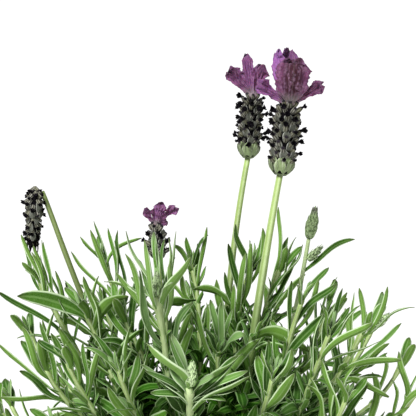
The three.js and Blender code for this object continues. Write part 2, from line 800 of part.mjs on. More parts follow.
// Woody crown, and the same grown by the gap to seat the green stems on
function buildWood(grown = 0) {
  const collar = upright(collarRadius + grown, soilTop - collarDepth, crownHeight - 2, collarSides);
  const limbs = branches.map((branch) => (
    stem(woodCurve(branch), woodRadiusLow + grown, woodRadiusHigh + grown, woodSides, woodSpans)
  ));
  return mainBody(fuse([collar, ...limbs]));
}

// Relief round an axis: rings of points, every other point drawn out into a scale that
// points outwards and along the axis. Each row reads [share of the height, valley, peak, lift].
function spikeAxes(base, top) {
  const axis = top.clone().sub(base);
  const height = axis.length();
  axis.normalize();
  return { axis, height, ...crossAxes(axis) };
}

function outwardAt({ side, rise }, angle) {
  return side.clone().multiplyScalar(Math.cos(angle)).addScaledVector(rise, Math.sin(angle));
}

function reliefPoint(spec, [share, valley, peak, lift], row, column, drawnOut = 1) {
  const axes = spikeAxes(spec.base, spec.top);
  const isPeak = (row + column) % 2 === 0;
  return spec.base.clone()
    .addScaledVector(axes.axis, share * axes.height + (isPeak ? lift : 0))
    .addScaledVector(
      outwardAt(axes, (column / spec.columns) * Math.PI * 2),
      (isPeak ? peak * drawnOut : valley) * spec.radius,
    );
}

function relief(spec, rows, point = null, drawOut = () => 1) {
  return loft(rows.map((profile, row) => (
    Array.from({ length: spec.columns }, (_, column) => (
      reliefPoint(spec, profile, row, column, drawOut(row))
    ))
  )), point);
}

// Flower spike: a cup of green scales at its foot, then rows of woolly calyces.
// Some calyces are drawn out into a closed floret, and an open one stands out of others.
function spikeRows({ rings }) {
  const calyces = Array.from({ length: rings * 2 }, (_, i) => {
    const share = 0.2 + (0.74 * i) / (rings * 2 - 1);
    const swell = 0.84 + 0.16 * Math.sin(Math.PI * share);
    return [share, 0.56 * swell, 0.84 * swell, 1.2];
  });
  return [[0, 0.24, 0.24, 0], [0.07, 0.6, 0.78, 1.6], ...calyces, [1, 0.3, 0.3, 0]];
}

function floret(spike, profile, row, column, draw) {
  const axes = spikeAxes(spike.base, spike.top);
  const angle = (column / spike.columns) * Math.PI * 2 + between(draw, -0.12, 0.12);
  const tilt = between(draw, -0.1, 0.5);
  const aim = outwardAt(axes, angle)
    .multiplyScalar(Math.cos(tilt))
    .addScaledVector(axes.axis, Math.sin(tilt));
  const root = reliefPoint(spike, profile, row, column).addScaledVector(aim, -1.6);
  const length = 1.6 + between(draw, 1.2, 2.4);
  const open = between(draw, 1.2, 1.7);
  const rings = [[0, 0.7], [length, open]].map(([along, width]) => (
    ringAround(root.clone().addScaledVector(aim, along), aim, width, 3, angle)
  ));
  return loft(rings, root.clone().addScaledVector(aim, length - 0.6));
}

function buildSpike(name, spec, seed) {
  const spike = { ...spec, base: seen(spec.base), top: seen(spec.top), columns: spec.perRing * 2 };
  const draw = seededDraws(seed);
  const rows = spikeRows(spec);
  const lastCalyx = rows.length - 2;
  const drawOut = (row) => (row > 1 && row <= lastCalyx && draw() < 0.45 ? between(draw, 1.15, 1.4) : 1);
  const pieces = [relief(spike, rows, null, drawOut)];
  rows.slice(2, -1).forEach((profile, i) => {
    const row = i + 2;
    for (let column = row % 2; column < spike.columns; column += 2) {
      const piece = floret(spike, profile, row, column, draw);
      if (draw() < spec.open && !crossesOthers(name, piece)) {
        pieces.push(piece);
      }
    }
  });
  return place(name, mainBody(fuse(pieces)));
}

// Crown: broad wavy bracts rooted in a small button on top of the spike
const bractRows = {
  3: [[0, 0.34], [0.45, 0.95], [0.82, 0.94], [1, 0.42]],
  5: [[0, 0.3], [0.35, 0.86], [0.76, 0.98], [1, 0.5]],
};

function bractSolid(button, { tip, width, bulge, facing, columns }, draw) {
  const rim = seen(tip).sub(button.centre).normalize().add(vector(facing).normalize());
  rim.addScaledVector(button.axis, -rim.dot(button.axis)).normalize();
  const root = button.centre.clone().addScaledVector(rim, button.radius * 0.55);
  const along = seen(tip).sub(root);
  const length = along.length();
  const tangent = along.clone().normalize();
  const normal = vector(facing);
  normal.addScaledVector(tangent, -normal.dot(tangent)).normalize();
  const side = new THREE.Vector3().crossVectors(tangent, normal);
  const phase = between(draw, 0, 6.28);
  const rows = bractRows[columns].map(([s, share]) => {
    const middle = root.clone().addScaledVector(tangent, s * length);
    const points = Array.from({ length: columns }, (_, column) => {
      const u = (2 * column) / (columns - 1) - 1;
      const cup = -bulge * (1 - u * u) * Math.sin(Math.PI * Math.min(s + 0.1, 1));
      const wave = 0.08 * width * Math.abs(u) * Math.sin(phase + s * 9 + u * 2);
      return middle.clone()
        .addScaledVector(side, (u * share * width) / 2)
        .addScaledVector(normal, cup + wave);
    });
    return { points, normal };
  });
  return sheet(rows, bractThickness);
}

function buildCrown(name, spikeSpec, bracts, seed) {
  const draw = seededDraws(seed);
  const top = seen(spikeSpec.top);
  const { axis } = spikeAxes(seen(spikeSpec.base), top);
  const button = { axis, centre: top.clone().addScaledVector(axis, 1.4), radius: 0.5 * spikeSpec.radius };
  const buttonRings = [[gap, 0.8], [1.4, 1], [2.6, 0.6]].map(([rise, width]) => (
    ringAround(top.clone().addScaledVector(axis, rise), axis, width * button.radius, 6)
  ));
  const petals = bracts.map((bract) => bractSolid(button, bract, draw));
  return place(name, mainBody(fuse([loft(buttonRings), ...petals])));
}

// Bud: rows of pointed scales drawn to a tip
const budRows = [
  [0, 0.4, 0.4, 0],
  [0.16, 0.6, 1, 0.6],
  [0.42, 0.66, 1.02, 0.7],
  [0.68, 0.5, 0.86, 0.7],
  [0.86, 0.3, 0.5, 0.5],
];

function buildBud(name, spec) {
  const bud = { ...spec, base: seen(spec.base), top: seen(spec.top), columns: budColumns };
  return place(name, relief(bud, budRows, bud.top));
}

// Assembly
const plant = new THREE.Group();

function addNode(name, solid, colour, roughness = 0.75) {
  const material = new THREE.MeshStandardMaterial({ color: colour, roughness, metalness: 0 });
  const mesh = new THREE.Mesh(geometryOf(solid), material);
  mesh.name = name;
  plant.add(mesh);
}

addNode('pot', place('pot', buildPot()), 0xb5673f, 0.85);
addNode('soil', place('soil', buildSoil()), 0x3a2a1e, 0.95);

const wood = place('woody_crown', buildWood());
const woodSeat = buildWood(gap);
addNode('woody_crown', wood, 0x7a6248, 0.9);

const shoots = [];
branches.forEach((branch) => {
  const limb = woodCurve(branch);
  branch.stems.forEach((entry, rank) => {
    const { stalk } = entry;
    const curve = stalk
      ? stalkCurve(limb, stemPlaces[rank], stalks[stalk])
      : shootCurve(limb, stemPlaces[rank], entry.apex);
    const [low, high] = stalk ? stalks[stalk].radii : [shootRadiusLow, shootRadiusHigh];
    const solid = stem(curve, low, high, stalk ? stalkSides : shootSides, stalk ? stalkSpans : shootSpans);
    const seated = mainBody(solid.subtract(woodSeat));
    place(entry.name, seated);
    shoots.push({
      ...entry,
      curve,
      depth: stalk ? stalks[stalk].end[1] : entry.apex[1],
      draw: seededDraws(stemSeed + shoots.length),
      taken: [],
      pieces: [seated],
    });
  });
});

Object.entries(crowns).forEach(([flower, bracts], i) => {
  const crown = buildCrown(`${flower}_crown`, spikes[flower], bracts, crownSeed + i);
  addNode(`${flower}_crown`, crown, 0x7a3f86, 0.6);
});

Object.entries(spikes).forEach(([flower, spec], i) => {
  const spike = buildSpike(`${flower}_spike`, spec, spikeSeed + i);
  addNode(`${flower}_spike`, spike, 0x5d5f55, 0.9);
});

Object.entries(buds).forEach(([name, spec]) => {
  addNode(name, buildBud(name, spec), spec.colour, 0.8);
});

// Leaves with set tips come first, then the ruled pairs, the top pair of every shoot before the next
shoots.forEach((shoot) => {
  (shoot.tips ?? []).forEach((tip) => {
    const leaf = clearLeaf(shoot.name, leafToTip(shoot, tip), true);
    if (leaf) {
      shoot.pieces.push(leaf);
    }
  });
});

const mostPairs = Math.max(...shoots.map((shoot) => shoot.pairs ?? 0));
for (let rank = 0; rank < mostPairs; rank += 1) {
  shoots.filter((shoot) => shoot.pairs > rank).forEach((shoot) => {
    for (let half = 0; half < 2; half += 1) {
      const forms = pairLeaf(shoot.curve, rank, shoot.pairs, half, shoot.draw);
      const leaf = clearLeaf(shoot.name, forms, false);
      if (leaf) {
        shoot.pieces.push(leaf);
      }
    }
  });
}

shoots.forEach((shoot) => {
  const solid = mainBody(fuse(shoot.pieces));
  addNode(shoot.name, solid, shoot.stalk ? 0xa5bd72 : 0x6f9456, 0.8);
});

export default plant;
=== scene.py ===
# Potted spanish lavender: clay pot, potting mix, woody crown, leafy shoots, flower heads and buds.
# Lengths are in millimetres. The plant's tables repeat those of the solids, so each leaf stays in its place.
import bpy
import math
import numpy as np
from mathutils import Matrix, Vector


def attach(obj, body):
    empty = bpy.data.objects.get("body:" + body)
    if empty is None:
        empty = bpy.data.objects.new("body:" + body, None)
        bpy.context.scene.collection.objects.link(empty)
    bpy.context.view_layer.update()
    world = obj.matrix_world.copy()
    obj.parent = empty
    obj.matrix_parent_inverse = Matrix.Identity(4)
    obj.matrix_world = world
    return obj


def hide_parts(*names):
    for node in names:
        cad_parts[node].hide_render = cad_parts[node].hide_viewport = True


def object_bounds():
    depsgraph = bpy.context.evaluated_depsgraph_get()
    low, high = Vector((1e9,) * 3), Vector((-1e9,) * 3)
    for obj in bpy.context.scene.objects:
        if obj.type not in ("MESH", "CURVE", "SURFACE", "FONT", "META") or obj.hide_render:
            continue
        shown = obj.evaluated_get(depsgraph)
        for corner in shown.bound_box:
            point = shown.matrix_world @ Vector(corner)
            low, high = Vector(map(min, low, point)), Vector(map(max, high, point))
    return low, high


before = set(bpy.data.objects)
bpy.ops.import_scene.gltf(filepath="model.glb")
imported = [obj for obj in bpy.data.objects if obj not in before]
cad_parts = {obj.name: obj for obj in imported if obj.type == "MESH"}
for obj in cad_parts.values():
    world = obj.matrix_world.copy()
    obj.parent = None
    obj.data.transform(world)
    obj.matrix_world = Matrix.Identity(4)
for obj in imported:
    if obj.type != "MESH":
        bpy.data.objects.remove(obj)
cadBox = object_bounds()
mm = 0.001
fullTurn = 2 * math.pi
print("frame: solids loaded")

# The photograph's viewpoint: what is given as seen lies in the plane of the pot's axis,
# and moves along the line of sight to its own depth
view = dict(distance=1100, tilt=math.radians(10), height=259, frameWidth=178.9, sensorWidth=36)
viewer = np.array([0, -math.cos(view["tilt"]), math.sin(view["tilt"])])


def addObject(name, data):
    made = bpy.data.objects.new(name, data)
    bpy.context.scene.collection.objects.link(made)
    return made


def addCamera():
    camera = bpy.data.cameras.new("photoCamera")
    camera.sensor_width = view["sensorWidth"]
    camera.lens = view["sensorWidth"] * view["distance"] / view["frameWidth"]
    camera.clip_end = 50
    camera.dof.use_dof = False
    holder = addObject("photoCamera", camera)
    holder.location = viewer * view["distance"] * mm + np.array([0, 0, view["height"] * mm])
    holder.rotation_euler = (math.pi / 2 - view["tilt"], 0, 0)
    bpy.context.scene.camera = holder


def seen(point):
    x, y, z = point
    nearness = 1 + y / view["distance"]
    height = view["height"] + (z - view["height"]) * nearness - y * math.tan(view["tilt"])
    return np.array([x * nearness, y, height])


# Vectors, whole arrays at a time
def unit(v):
    return v / np.linalg.norm(v, axis=-1, keepdims=True)


def dot(a, b):
    return (a * b).sum(-1, keepdims=True)


def mix(a, b, share):
    return a + (b - a) * share


def clamp(value, low=0, high=1):
    return min(high, max(low, value))


# The part of v that is square to the axis, as a unit vector
def squareTo(v, axis):
    return unit(v - axis * dot(v, axis))


# From one direction towards another that is square to it: a cos(angle) + b sin(angle)
def leant(a, b, angle):
    return a * np.cos(angle) + b * np.sin(angle)


def angleBetween(a, b):
    return math.acos(clamp(float(unit(a).dot(unit(b))), -1))


# Seeded draws between 0 and 1, the same as those of the solids (mulberry32)
def seededDraws(seed):
    state = [seed]

    def draw():
        state[0] = (state[0] + 0x6D2B79F5) & 0xFFFFFFFF
        mixed = ((state[0] ^ (state[0] >> 15)) * (state[0] | 1)) & 0xFFFFFFFF
        mixed = ((mixed + ((mixed ^ (mixed >> 7)) * (mixed | 61) & 0xFFFFFFFF)) & 0xFFFFFFFF) ^ mixed
        return (mixed ^ (mixed >> 14)) / 4294967296

    return draw


def between(draw, low, high):
    return low + (high - low) * draw()


def astray(draw, most):
    return between(draw, -most, most)


# Cubic curve: (1-t)^3 a + 3t(1-t)^2 b + 3t^2(1-t) c + t^3 d
def cubic(curve, t):
    t = np.asarray(t, float)[..., None]
    a, b, c, d = curve
    return (1 - t) ** 3 * a + 3 * t * (1 - t) ** 2 * b + 3 * t ** 2 * (1 - t) * c + t ** 3 * d


def cubicTangent(curve, t):
    t = np.asarray(t, float)
    return unit(cubic(curve, np.minimum(t + 1e-4, 1)) - cubic(curve, np.maximum(t - 1e-4, 0)))


def cubicLength(curve):
    points = cubic(curve, np.linspace(0, 1, 201))
    return np.linalg.norm(np.diff(points, axis=0), axis=1).sum()


def placeOn(curve, t):
    return cubic(curve, t), cubicTangent(curve, t)


# Two unit vectors square to a tangent, the first of them level
def crossAxes(tangent):
    side = np.cross(tangent, [0, 0, 1])
    side = np.array([1.0, 0, 0]) if np.linalg.norm(side) < 0.05 else unit(side)
    return side, unit(np.cross(side, tangent))


# Rings. Points stand evenly round each ring, at the angles u.
def evenAngles(around):
    return np.arange(around) / around * fullTurn


# Rings round a midline: centre + side r cos u + rise r sin u, with r for each point
def ringsRound(centre, side, rise, radius):
    u = evenAngles(radius.shape[-1])
    return (centre[..., None, :] + side[..., None, :] * (radius * np.cos(u))[..., None]
            + rise[..., None, :] * (radius * np.sin(u))[..., None])


# Turned form about the z axis: x = r cos u, y = r sin u, for rows of radius and height
def turned(profile, around):
    radius, height = np.array(profile, float).T
    centre = np.column_stack([radius * 0, radius * 0, height])
    return ringsRound(centre, np.array([1.0, 0, 0]), np.array([0, 1.0, 0]), np.tile(radius[:, None], around))


# Meshes. A part is (points, quads, uv at each quad's corners, tone at each point, material index).
# Rings of points follow each other; u runs round a ring and v along the rings.
def ringQuads(rows, around):
    row = np.arange(rows - 1)[:, None] * around
    step = np.arange(around)[None]
    after = (step + 1) % around
    return np.stack([row + step, row + after, row + around + after, row + around + step], -1).reshape(-1, 4)


def capQuads(start, around, flip):
    k = np.arange(1, around - 1, 2)
    quads = np.stack([np.zeros_like(k), k, k + 1, k + 2], -1) + start
    return quads[:, ::-1] if flip else quads


# Many closed shells at once, from rings (shells, rows, around, 3), or one from rings (rows, around, 3).
# across gives u of each point of a ring and along gives v of each ring; both are even if not given.
def shells(rings, tone, material=0, across=None, along=None):
    rings = rings.reshape(-1, *rings.shape[-3:])
    count, rows, around = rings.shape[:3]
    across = np.arange(around) / around if across is None else across
    along = np.linspace(0, 1, rows) if along is None else along
    sides = ringQuads(rows, around)
    quads = np.concatenate([sides, capQuads(0, around, True), capQuads((rows - 1) * around, around, False)])
    u = np.tile(across, rows)[quads]
    wraps = np.zeros(len(quads), bool)
    wraps[:len(sides)] = np.arange(len(sides)) % around == around - 1
    u[wraps, 1:3] = 1.0
    uv = np.tile(np.stack([u, np.repeat(along, around)[quads]], -1), (count, 1, 1))
    perShell = rows * around
    quads = (quads + (np.arange(count) * perShell)[:, None, None]).reshape(-1, 4)
    points = rings.reshape(-1, 3)
    a, b, c, d = (points[quads[:, corner]] for corner in range(4))
    if (a * np.cross(b, c)).sum() + (a * np.cross(c, d)).sum() < 0:
        quads, uv = quads[:, ::-1], uv[:, ::-1]
    return points, quads, uv, np.repeat(np.atleast_2d(tone), perShell, axis=0), np.full(len(quads), material)


def addPiece(name, parts, materialNames, slot, replaces):
    starts = np.cumsum([0] + [len(part[0]) for part in parts[:-1]])
    quads = np.concatenate([part[1] + start for part, start in zip(parts, starts)])
    points, uv, tones, indices = (np.concatenate([part[k] for part in parts]) for k in (0, 2, 3, 4))
    mesh = bpy.data.meshes.new(name)
    mesh.vertices.add(len(points))
    mesh.vertices.foreach_set("co", np.clip(points * mm, cadBox[0], cadBox[1]).ravel())
    mesh.loops.add(quads.size)
    mesh.loops.foreach_set("vertex_index", quads.ravel().astype(np.int32))
    mesh.polygons.add(len(quads))
    mesh.polygons.foreach_set("loop_start", np.arange(0, quads.size, 4, dtype=np.int32))
    mesh.polygons.foreach_set("material_index", indices.astype(np.int32))
    mesh.polygons.foreach_set("use_smooth", np.ones(len(quads), bool))
    mesh.uv_layers.new(name="surface").data.foreach_set("uv", uv.ravel())
    colour = mesh.attributes.new("tone", "FLOAT_COLOR", "POINT")
    colour.data.foreach_set("color", np.column_stack([tones, np.ones(len(tones))]).ravel())
    mesh.update(calc_edges=True)
    mesh.validate()
    piece = addObject(name, mesh)
    for materialName in materialNames:
        mesh.materials.append(materials[materialName])
    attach(piece, "root")
    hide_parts(*replaces)
    return piece


# Materials. Node groups hold the patterns that several materials share.
def addNode(tree, kind, inputs=None, **settings):
    node = tree.nodes.new("ShaderNode" + kind)
    for name, value in settings.items():
        setattr(node, name, value)
    for name, value in (inputs or {}).items():
        if isinstance(value, bpy.types.NodeSocket):
            tree.links.new(value, node.inputs[name])
        else:
            node.inputs[name].default_value = value
    return node


def maths(tree, operation, a, b=0.0):
    return addNode(tree, "Math", {0: a, 1: b}, operation=operation).outputs[0]


def blend(tree, factor, a, b, mode="MIX"):
    return addNode(tree, "Mix", {0: factor, 6: a, 7: b}, data_type="RGBA", blend_type=mode).outputs[2]


# Smooth step: 0 up to low, 1 from high on, or the reverse where low is the larger
def step(tree, value, low, high):
    inputs = {"Value": value, "From Min": low, "From Max": high}
    return addNode(tree, "MapRange", inputs, interpolation_type="SMOOTHSTEP").outputs[0]


def noise(tree, place, scale, detail, roughness=0.5):
    inputs = {"Vector": place, "Scale": scale, "Detail": detail, "Roughness": roughness}
    return addNode(tree, "TexNoise", inputs).outputs[0]


def objectPlace(tree):
    return addNode(tree, "TexCoord").outputs["Object"]


def surfacePlace(tree):
    return addNode(tree, "UVMap", uv_map="surface").outputs[0]


def xyzOf(tree, vector):
    return addNode(tree, "SeparateXYZ", {0: vector}).outputs


groups = {}


def newGroup(name, inputs, **outputs):
    groups[name] = tree = bpy.data.node_groups.new(name, "ShaderNodeTree")
    for label in inputs:
        tree.interface.new_socket(name=label, in_out="INPUT", socket_type="NodeSocketFloat")
    for label, kind in outputs.items():
        tree.interface.new_socket(name=label, in_out="OUTPUT", socket_type="NodeSocket" + kind)
    return tree, tree.nodes.new("NodeGroupInput").outputs, tree.nodes.new("NodeGroupOutput").inputs


def useGroup(tree, name, values=()):
    node = addNode(tree, "Group", node_tree=groups[name])
    for k, value in enumerate(values):
        node.inputs[k].default_value = value
    return node.outputs


# Soft patches in the piece's own space
def makeMottle():
    tree, given, made = newGroup("mottle", ["Scale", "Detail"], Value="Float")
    patches = noise(tree, objectPlace(tree), given["Scale"], given["Detail"], 0.55)
    tree.links.new(step(tree, patches, 0.3, 0.7), made["Value"])


# Fine relief: down, grain or crumbs
def makeGrain():
    tree, given, made = newGroup("grain", ["Scale", "Strength", "Depth"], Normal="Vector")
    height = noise(tree, objectPlace(tree), given["Scale"], 4.0, 0.65)
    inputs = {"Height": height, "Strength": given["Strength"], "Distance": given["Depth"]}
    tree.links.new(addNode(tree, "Bump", inputs).outputs[0], made["Normal"])


# Marks of a blade from its uv: |1 - |4u - 2|| runs from the midrib to the margin on either face, v along it
def makeBladeMarks():
    tree, given, made = newGroup(
        "bladeMarks", [], Outward="Float", Along="Float", Underside="Float", Midrib="Float", Margin="Float")
    u, v = xyzOf(tree, surfacePlace(tree))[:2]
    fromMiddle = maths(tree, "ABSOLUTE", maths(tree, "SUBTRACT", maths(tree, "MULTIPLY", u, 4.0), 2.0))
    outward = maths(tree, "ABSOLUTE", maths(tree, "SUBTRACT", 1.0, fromMiddle))
    tree.links.new(outward, made["Outward"])
    tree.links.new(v, made["Along"])
    tree.links.new(maths(tree, "GREATER_THAN", u, 0.5), made["Underside"])
    tree.links.new(step(tree, outward, 0.22, 0.06), made["Midrib"])
    tree.links.new(step(tree, outward, 0.69, 0.87), made["Margin"])


# From -1 to 1 into 0 to 1
def halved(tree, wave):
    return maths(tree, "ADD", maths(tree, "MULTIPLY", wave, 0.5), 0.5)


# Lines that run along a piece, evenly spaced round it and a little uneven: 0.5 + 0.5 cos(count u + wander)
def makeLines():
    tree, given, made = newGroup("lines", ["Count", "Wander"], Value="Float")
    u = xyzOf(tree, surfacePlace(tree))[0]
    wander = maths(tree, "MULTIPLY", noise(tree, objectPlace(tree), 400.0, 2.0), given["Wander"])
    turn = maths(tree, "MULTIPLY", maths(tree, "MULTIPLY", u, given["Count"]), fullTurn)
    turn = maths(tree, "ADD", turn, maths(tree, "MULTIPLY", wander, 12.0))
    tree.links.new(halved(tree, maths(tree, "COSINE", turn)), made["Value"])


# Streaks that run along a blade and fan out with it
def makeStreaks():
    tree, given, made = newGroup("streaks", ["Across", "Along"], Value="Float")
    stretch = addNode(tree, "CombineXYZ", {0: given["Across"], 1: given["Along"]}).outputs[0]
    place = addNode(tree, "VectorMath", {0: surfacePlace(tree), 1: stretch}, operation="MULTIPLY").outputs[0]
    tree.links.new(step(tree, noise(tree, place, 1.0, 2.0), 0.35, 0.65), made["Value"])


# Height above the ground in metres, and level rings with a given number of radians in a metre
def makeHeights():
    tree, given, made = newGroup("height", [], Value="Float")
    tree.links.new(xyzOf(tree, objectPlace(tree))[2], made["Value"])
    tree, given, made = newGroup("turning", ["Waves"], Value="Float")
    turn = maths(tree, "MULTIPLY", xyzOf(tree, objectPlace(tree))[2], given["Waves"])
    tree.links.new(halved(tree, maths(tree, "SINE", turn)), made["Value"])


for makeGroup in (makeMottle, makeGrain, makeBladeMarks, makeLines, makeStreaks, makeHeights):
    makeGroup()


# A mask is ("tone", channel), ("mark", blade mark), ("sum", mask, mask) or (group, the group's values);
# two more values are the low and high of a smooth step
def makeMask(tree, masks, kind, *values):
    if kind == "sum":
        return maths(tree, "ADD", masks[values[0]], masks[values[1]])
    if kind == "tone":
        attribute = addNode(tree, "Attribute", attribute_name="tone").outputs["Color"]
        value, limits = addNode(tree, "SeparateColor", {0: attribute}).outputs[values[0]], values[1:]
    elif kind == "mark":
        value, limits = useGroup(tree, "bladeMarks")[values[0]], values[1:]
    else:
        given = sum(item.in_out == "INPUT" for item in groups[kind].interface.items_tree)
        value, limits = useGroup(tree, kind, values[:given])[0], values[given:]
    return step(tree, value, *limits) if limits else value


# Coats of colour over a ground. Each coat is (colour, share, masks), and lies where all of its masks are.
def newMaterial(name, look):
    material = bpy.data.materials.new(name)
    material.use_nodes = True
    tree = material.node_tree
    shader = tree.nodes["Principled BSDF"].inputs
    for label, value in look["shader"].items():
        shader[label.replace("_", " ")].default_value = value
    masks = {}
    for label, mask in look["masks"].items():
        masks[label] = makeMask(tree, masks, *mask)
    colours = {label: (*colour, 1) for label, colour in look["colours"].items()}
    colour = colours["ground"]
    for label, share, *where in look["coats"]:
        factor = masks[where[0]]
        for mask in where[1:]:
            factor = maths(tree, "MULTIPLY", factor, masks[mask])
        factor = factor if share == 1 else maths(tree, "MULTIPLY", factor, share)
        colour = blend(tree, factor, colour, colours[label], look.get("modes", {}).get(label, "MIX"))
    tree.links.new(colour, shader["Base Color"])
    if "grain" in look:
        normal = useGroup(tree, "grain", look["grain"])[0]
        if "relief" in look:
            mask, strength, depth = look["relief"]
            inputs = {"Height": masks[mask], "Strength": strength, "Distance": depth, "Normal": normal}
            normal = addNode(tree, "Bump", inputs).outputs[0]
        tree.links.new(normal, shader["Normal"])
    return material


# tone: red how bright, green how young, blue how deep in the bush, which sets painted shade
leafLook = dict(
    shader=dict(Roughness=0.7, Specular_IOR_Level=0.05), grain=(2600.0, 0.35, 0.00015),
    colours=dict(
        ground=(0.008, 0.056, 0.001), light=(0.08, 0.222, 0.012), young=(0.33, 0.49, 0.22),
        under=(0.16, 0.31, 0.045), down=(0.29, 0.42, 0.18), rib=(0.36, 0.56, 0.2),
        # The last colour darkens leaves deep in the bush: partly their age, partly painted shade
        margin=(0.66, 0.8, 0.52), tip=(0.07, 0.075, 0.03), oldAndShaded=(0.2, 0.42, 0.06),
    ),
    masks=dict(
        bright=("tone", 0), pallor=("tone", 0, -0.7, 0.7), youth=("tone", 1, 0.1, 1.1), buried=("tone", 2),
        patches=("mottle", 160.0, 3.0), hairs=("mottle", 2200.0, 2.0), underside=("mark", "Underside"),
        midrib=("mark", "Midrib"), margin=("mark", "Margin"), end=("mark", "Along", 0.86, 1.0),
    ),
    coats=[
        ("light", 1, "bright"), ("light", 0.35, "patches"), ("young", 1, "youth"), ("under", 0.7, "underside"),
        ("down", 0.22, "hairs", "pallor"), ("rib", 0.27, "midrib"), ("margin", 0.85, "margin", "pallor"),
        # Leaves deep in the bush are multiplied darker: partly their age, partly painted shade
        ("tip", 0.6, "end"), ("oldAndShaded", 1, "buried"),
    ],
    modes=dict(oldAndShaded="MULTIPLY"),
)

# tone: red how pale, green how olive
stemLook = dict(
    shader=dict(Roughness=0.6, Specular_IOR_Level=0.2), grain=(1800.0, 0.4, 0.0002),
    colours=dict(
        ground=(0.13, 0.21, 0.05), green=(0.34, 0.48, 0.13), pale=(0.6, 0.73, 0.39), olive=(0.15, 0.2, 0.06),
    ),
    masks=dict(
        pale=("tone", 0), olive=("tone", 1), upper=("mark", "Along", 0.35, 0.85),
        fading=("mark", "Along", 0.2, 0.7), cornered=("mark", "Along", 0.3, 0.7),
        corners=("lines", 4.0, 0.02), patches=("mottle", 300.0, 3.0),
    ),
    coats=[
        ("green", 1, "upper"), ("pale", 0.75, "corners", "cornered"), ("pale", 1, "pale", "fading"),
        ("olive", 0.85, "olive"), ("olive", 0.15, "patches"),
    ],
)

# tone: red how much painted shade a calyx takes, green how olive
woolLook = dict(
    shader=dict(Roughness=0.9, Specular_IOR_Level=0.1, Sheen_Weight=0.08, Sheen_Roughness=0.6),
    grain=(3500.0, 0.8, 0.0004),
    colours=dict(
        # ground: painted shade, between the woolly ribs and in patches
        ground=(0.018, 0.02, 0.012), wool=(0.6, 0.58, 0.5), olive=(0.16, 0.16, 0.07),
        mouth=(0.012, 0.008, 0.014),
    ),
    masks=dict(
        ribs=("lines", 6.0, 0.1), patches=("mottle", 900.0, 3.0), shaded=("tone", 0),
        dim=("sum", "patches", "shaded"), olive=("tone", 1), mouth=("mark", "Along", 0.8, 0.97),
    ),
    coats=[("wool", 1, "ribs"), ("ground", 0.4, "dim"), ("olive", 0.5, "olive"), ("mouth", 1, "mouth")],
)


# Scales: the cup's are green, those among the calyces dusky with pale torn edges. Dark at the foot is painted
# shade. tone: green how young
def scaleLook(ground, edge, tipDusk, youngShare):
    return dict(
        shader=dict(Roughness=0.75, Specular_IOR_Level=0.15), grain=(3000.0, 0.6, 0.0003),
        colours=dict(ground=ground, edge=edge, pale=(0.55, 0.62, 0.42), dusk=(0.045, 0.05, 0.035)),
        masks=dict(
            young=("tone", 1), lines=("lines", 14.0, 0.15), margin=("mark", "Margin"),
            foot=("mark", "Along", 0.3, 0.0), end=("mark", "Along", 0.55, 0.95),
        ),
        coats=[
            # dusk at the foot: painted shade where each scale tucks in among the others
            ("edge", 0.3, "lines"), ("pale", youngShare, "young"), ("dusk", 0.6, "foot"),
            ("dusk", tipDusk, "end"), ("edge", 0.8, "margin"),
        ],
    )


# tone: green how pale and young, blue the share up the bud, dusky at the top of an aged bud. The gap spots are
# painted shade of the gaps between scales.
budLook = dict(
    shader=dict(Roughness=0.75, Specular_IOR_Level=0.12), grain=(3200.0, 0.6, 0.0003),
    colours=dict(
        ground=(0.2, 0.33, 0.1), pale=(0.6, 0.78, 0.42), dusk=(0.075, 0.05, 0.07), wool=(0.6, 0.7, 0.45),
        gap=(0.06, 0.11, 0.03),
    ),
    masks=dict(
        young=("tone", 1), aged=("tone", 1, 0.6, 0.4), top=("tone", 2, 0.5, 0.66), margin=("mark", "Margin"),
        patches=("mottle", 1100.0, 3.0), spots=("mottle", 900.0, 1.0, 0.45, 0.85),
    ),
    coats=[
        ("pale", 1, "young"), ("dusk", 1, "top", "aged"), ("wool", 0.4, "patches"), ("gap", 0.75, "spots"),
        ("wool", 0.5, "margin"),
    ],
)

floretLook = dict(
    shader=dict(Roughness=0.7, Specular_IOR_Level=0.06), grain=(2500.0, 0.3, 0.0002),
    colours=dict(ground=(0.001, 0.001, 0.001), soft=(0.01, 0.007, 0.013)),
    masks=dict(patches=("mottle", 700.0, 3.0), bright=("tone", 0)), coats=[("soft", 1, "patches", "bright")],
)

# tone: red how bright, green how dusky in the middle. Veins and ribs fan out from the foot.
bractLook = dict(
    shader=dict(Roughness=0.7, Specular_IOR_Level=0.12, Subsurface_Weight=0.1, Subsurface_Scale=0.002),
    grain=(1500.0, 0.35, 0.0002), relief=("ribs", 0.45, 0.0002),
    colours=dict(
        ground=(0.17, 0.054, 0.122), bright=(0.42, 0.16, 0.52), dusk=(0.04, 0.012, 0.02),
        vein=(0.44, 0.25, 0.4), foot=(0.3, 0.27, 0.25), tip=(0.1, 0.035, 0.09),
    ),
    masks=dict(
        bright=("tone", 0), dusky=("tone", 1), middle=("mark", "Outward", 0.95, 0.3),
        midrib=("mark", "Outward", 0.06, 0.0), foot=("mark", "Along", 0.3, 0.0),
        end=("mark", "Along", 0.9, 1.0), veins=("streaks", 50.0, 10.0), ribs=("streaks", 26.0, 4.5),
        patches=("mottle", 260.0, 3.0), flecks=("mottle", 900.0, 3.0),
    ),
    coats=[
        ("bright", 1, "bright"), ("ground", 0.3, "patches"), ("dusk", 1, "middle", "dusky"),
        ("dusk", 0.55, "veins"), ("vein", 0.45, "ribs", "flecks"), ("foot", 0.12, "midrib"),
        ("foot", 0.7, "foot"), ("tip", 0.2, "end"),
    ],
)

barkLook = dict(
    shader=dict(Roughness=0.9, Specular_IOR_Level=0.15), grain=(900.0, 0.9, 0.0006),
    colours=dict(ground=(0.06, 0.04, 0.025), light=(0.2, 0.15, 0.1)),
    masks=dict(ribs=("lines", 9.0, 0.6), patches=("mottle", 350.0, 3.0)),
    coats=[("light", 1, "ribs"), ("ground", 0.5, "patches")],
)

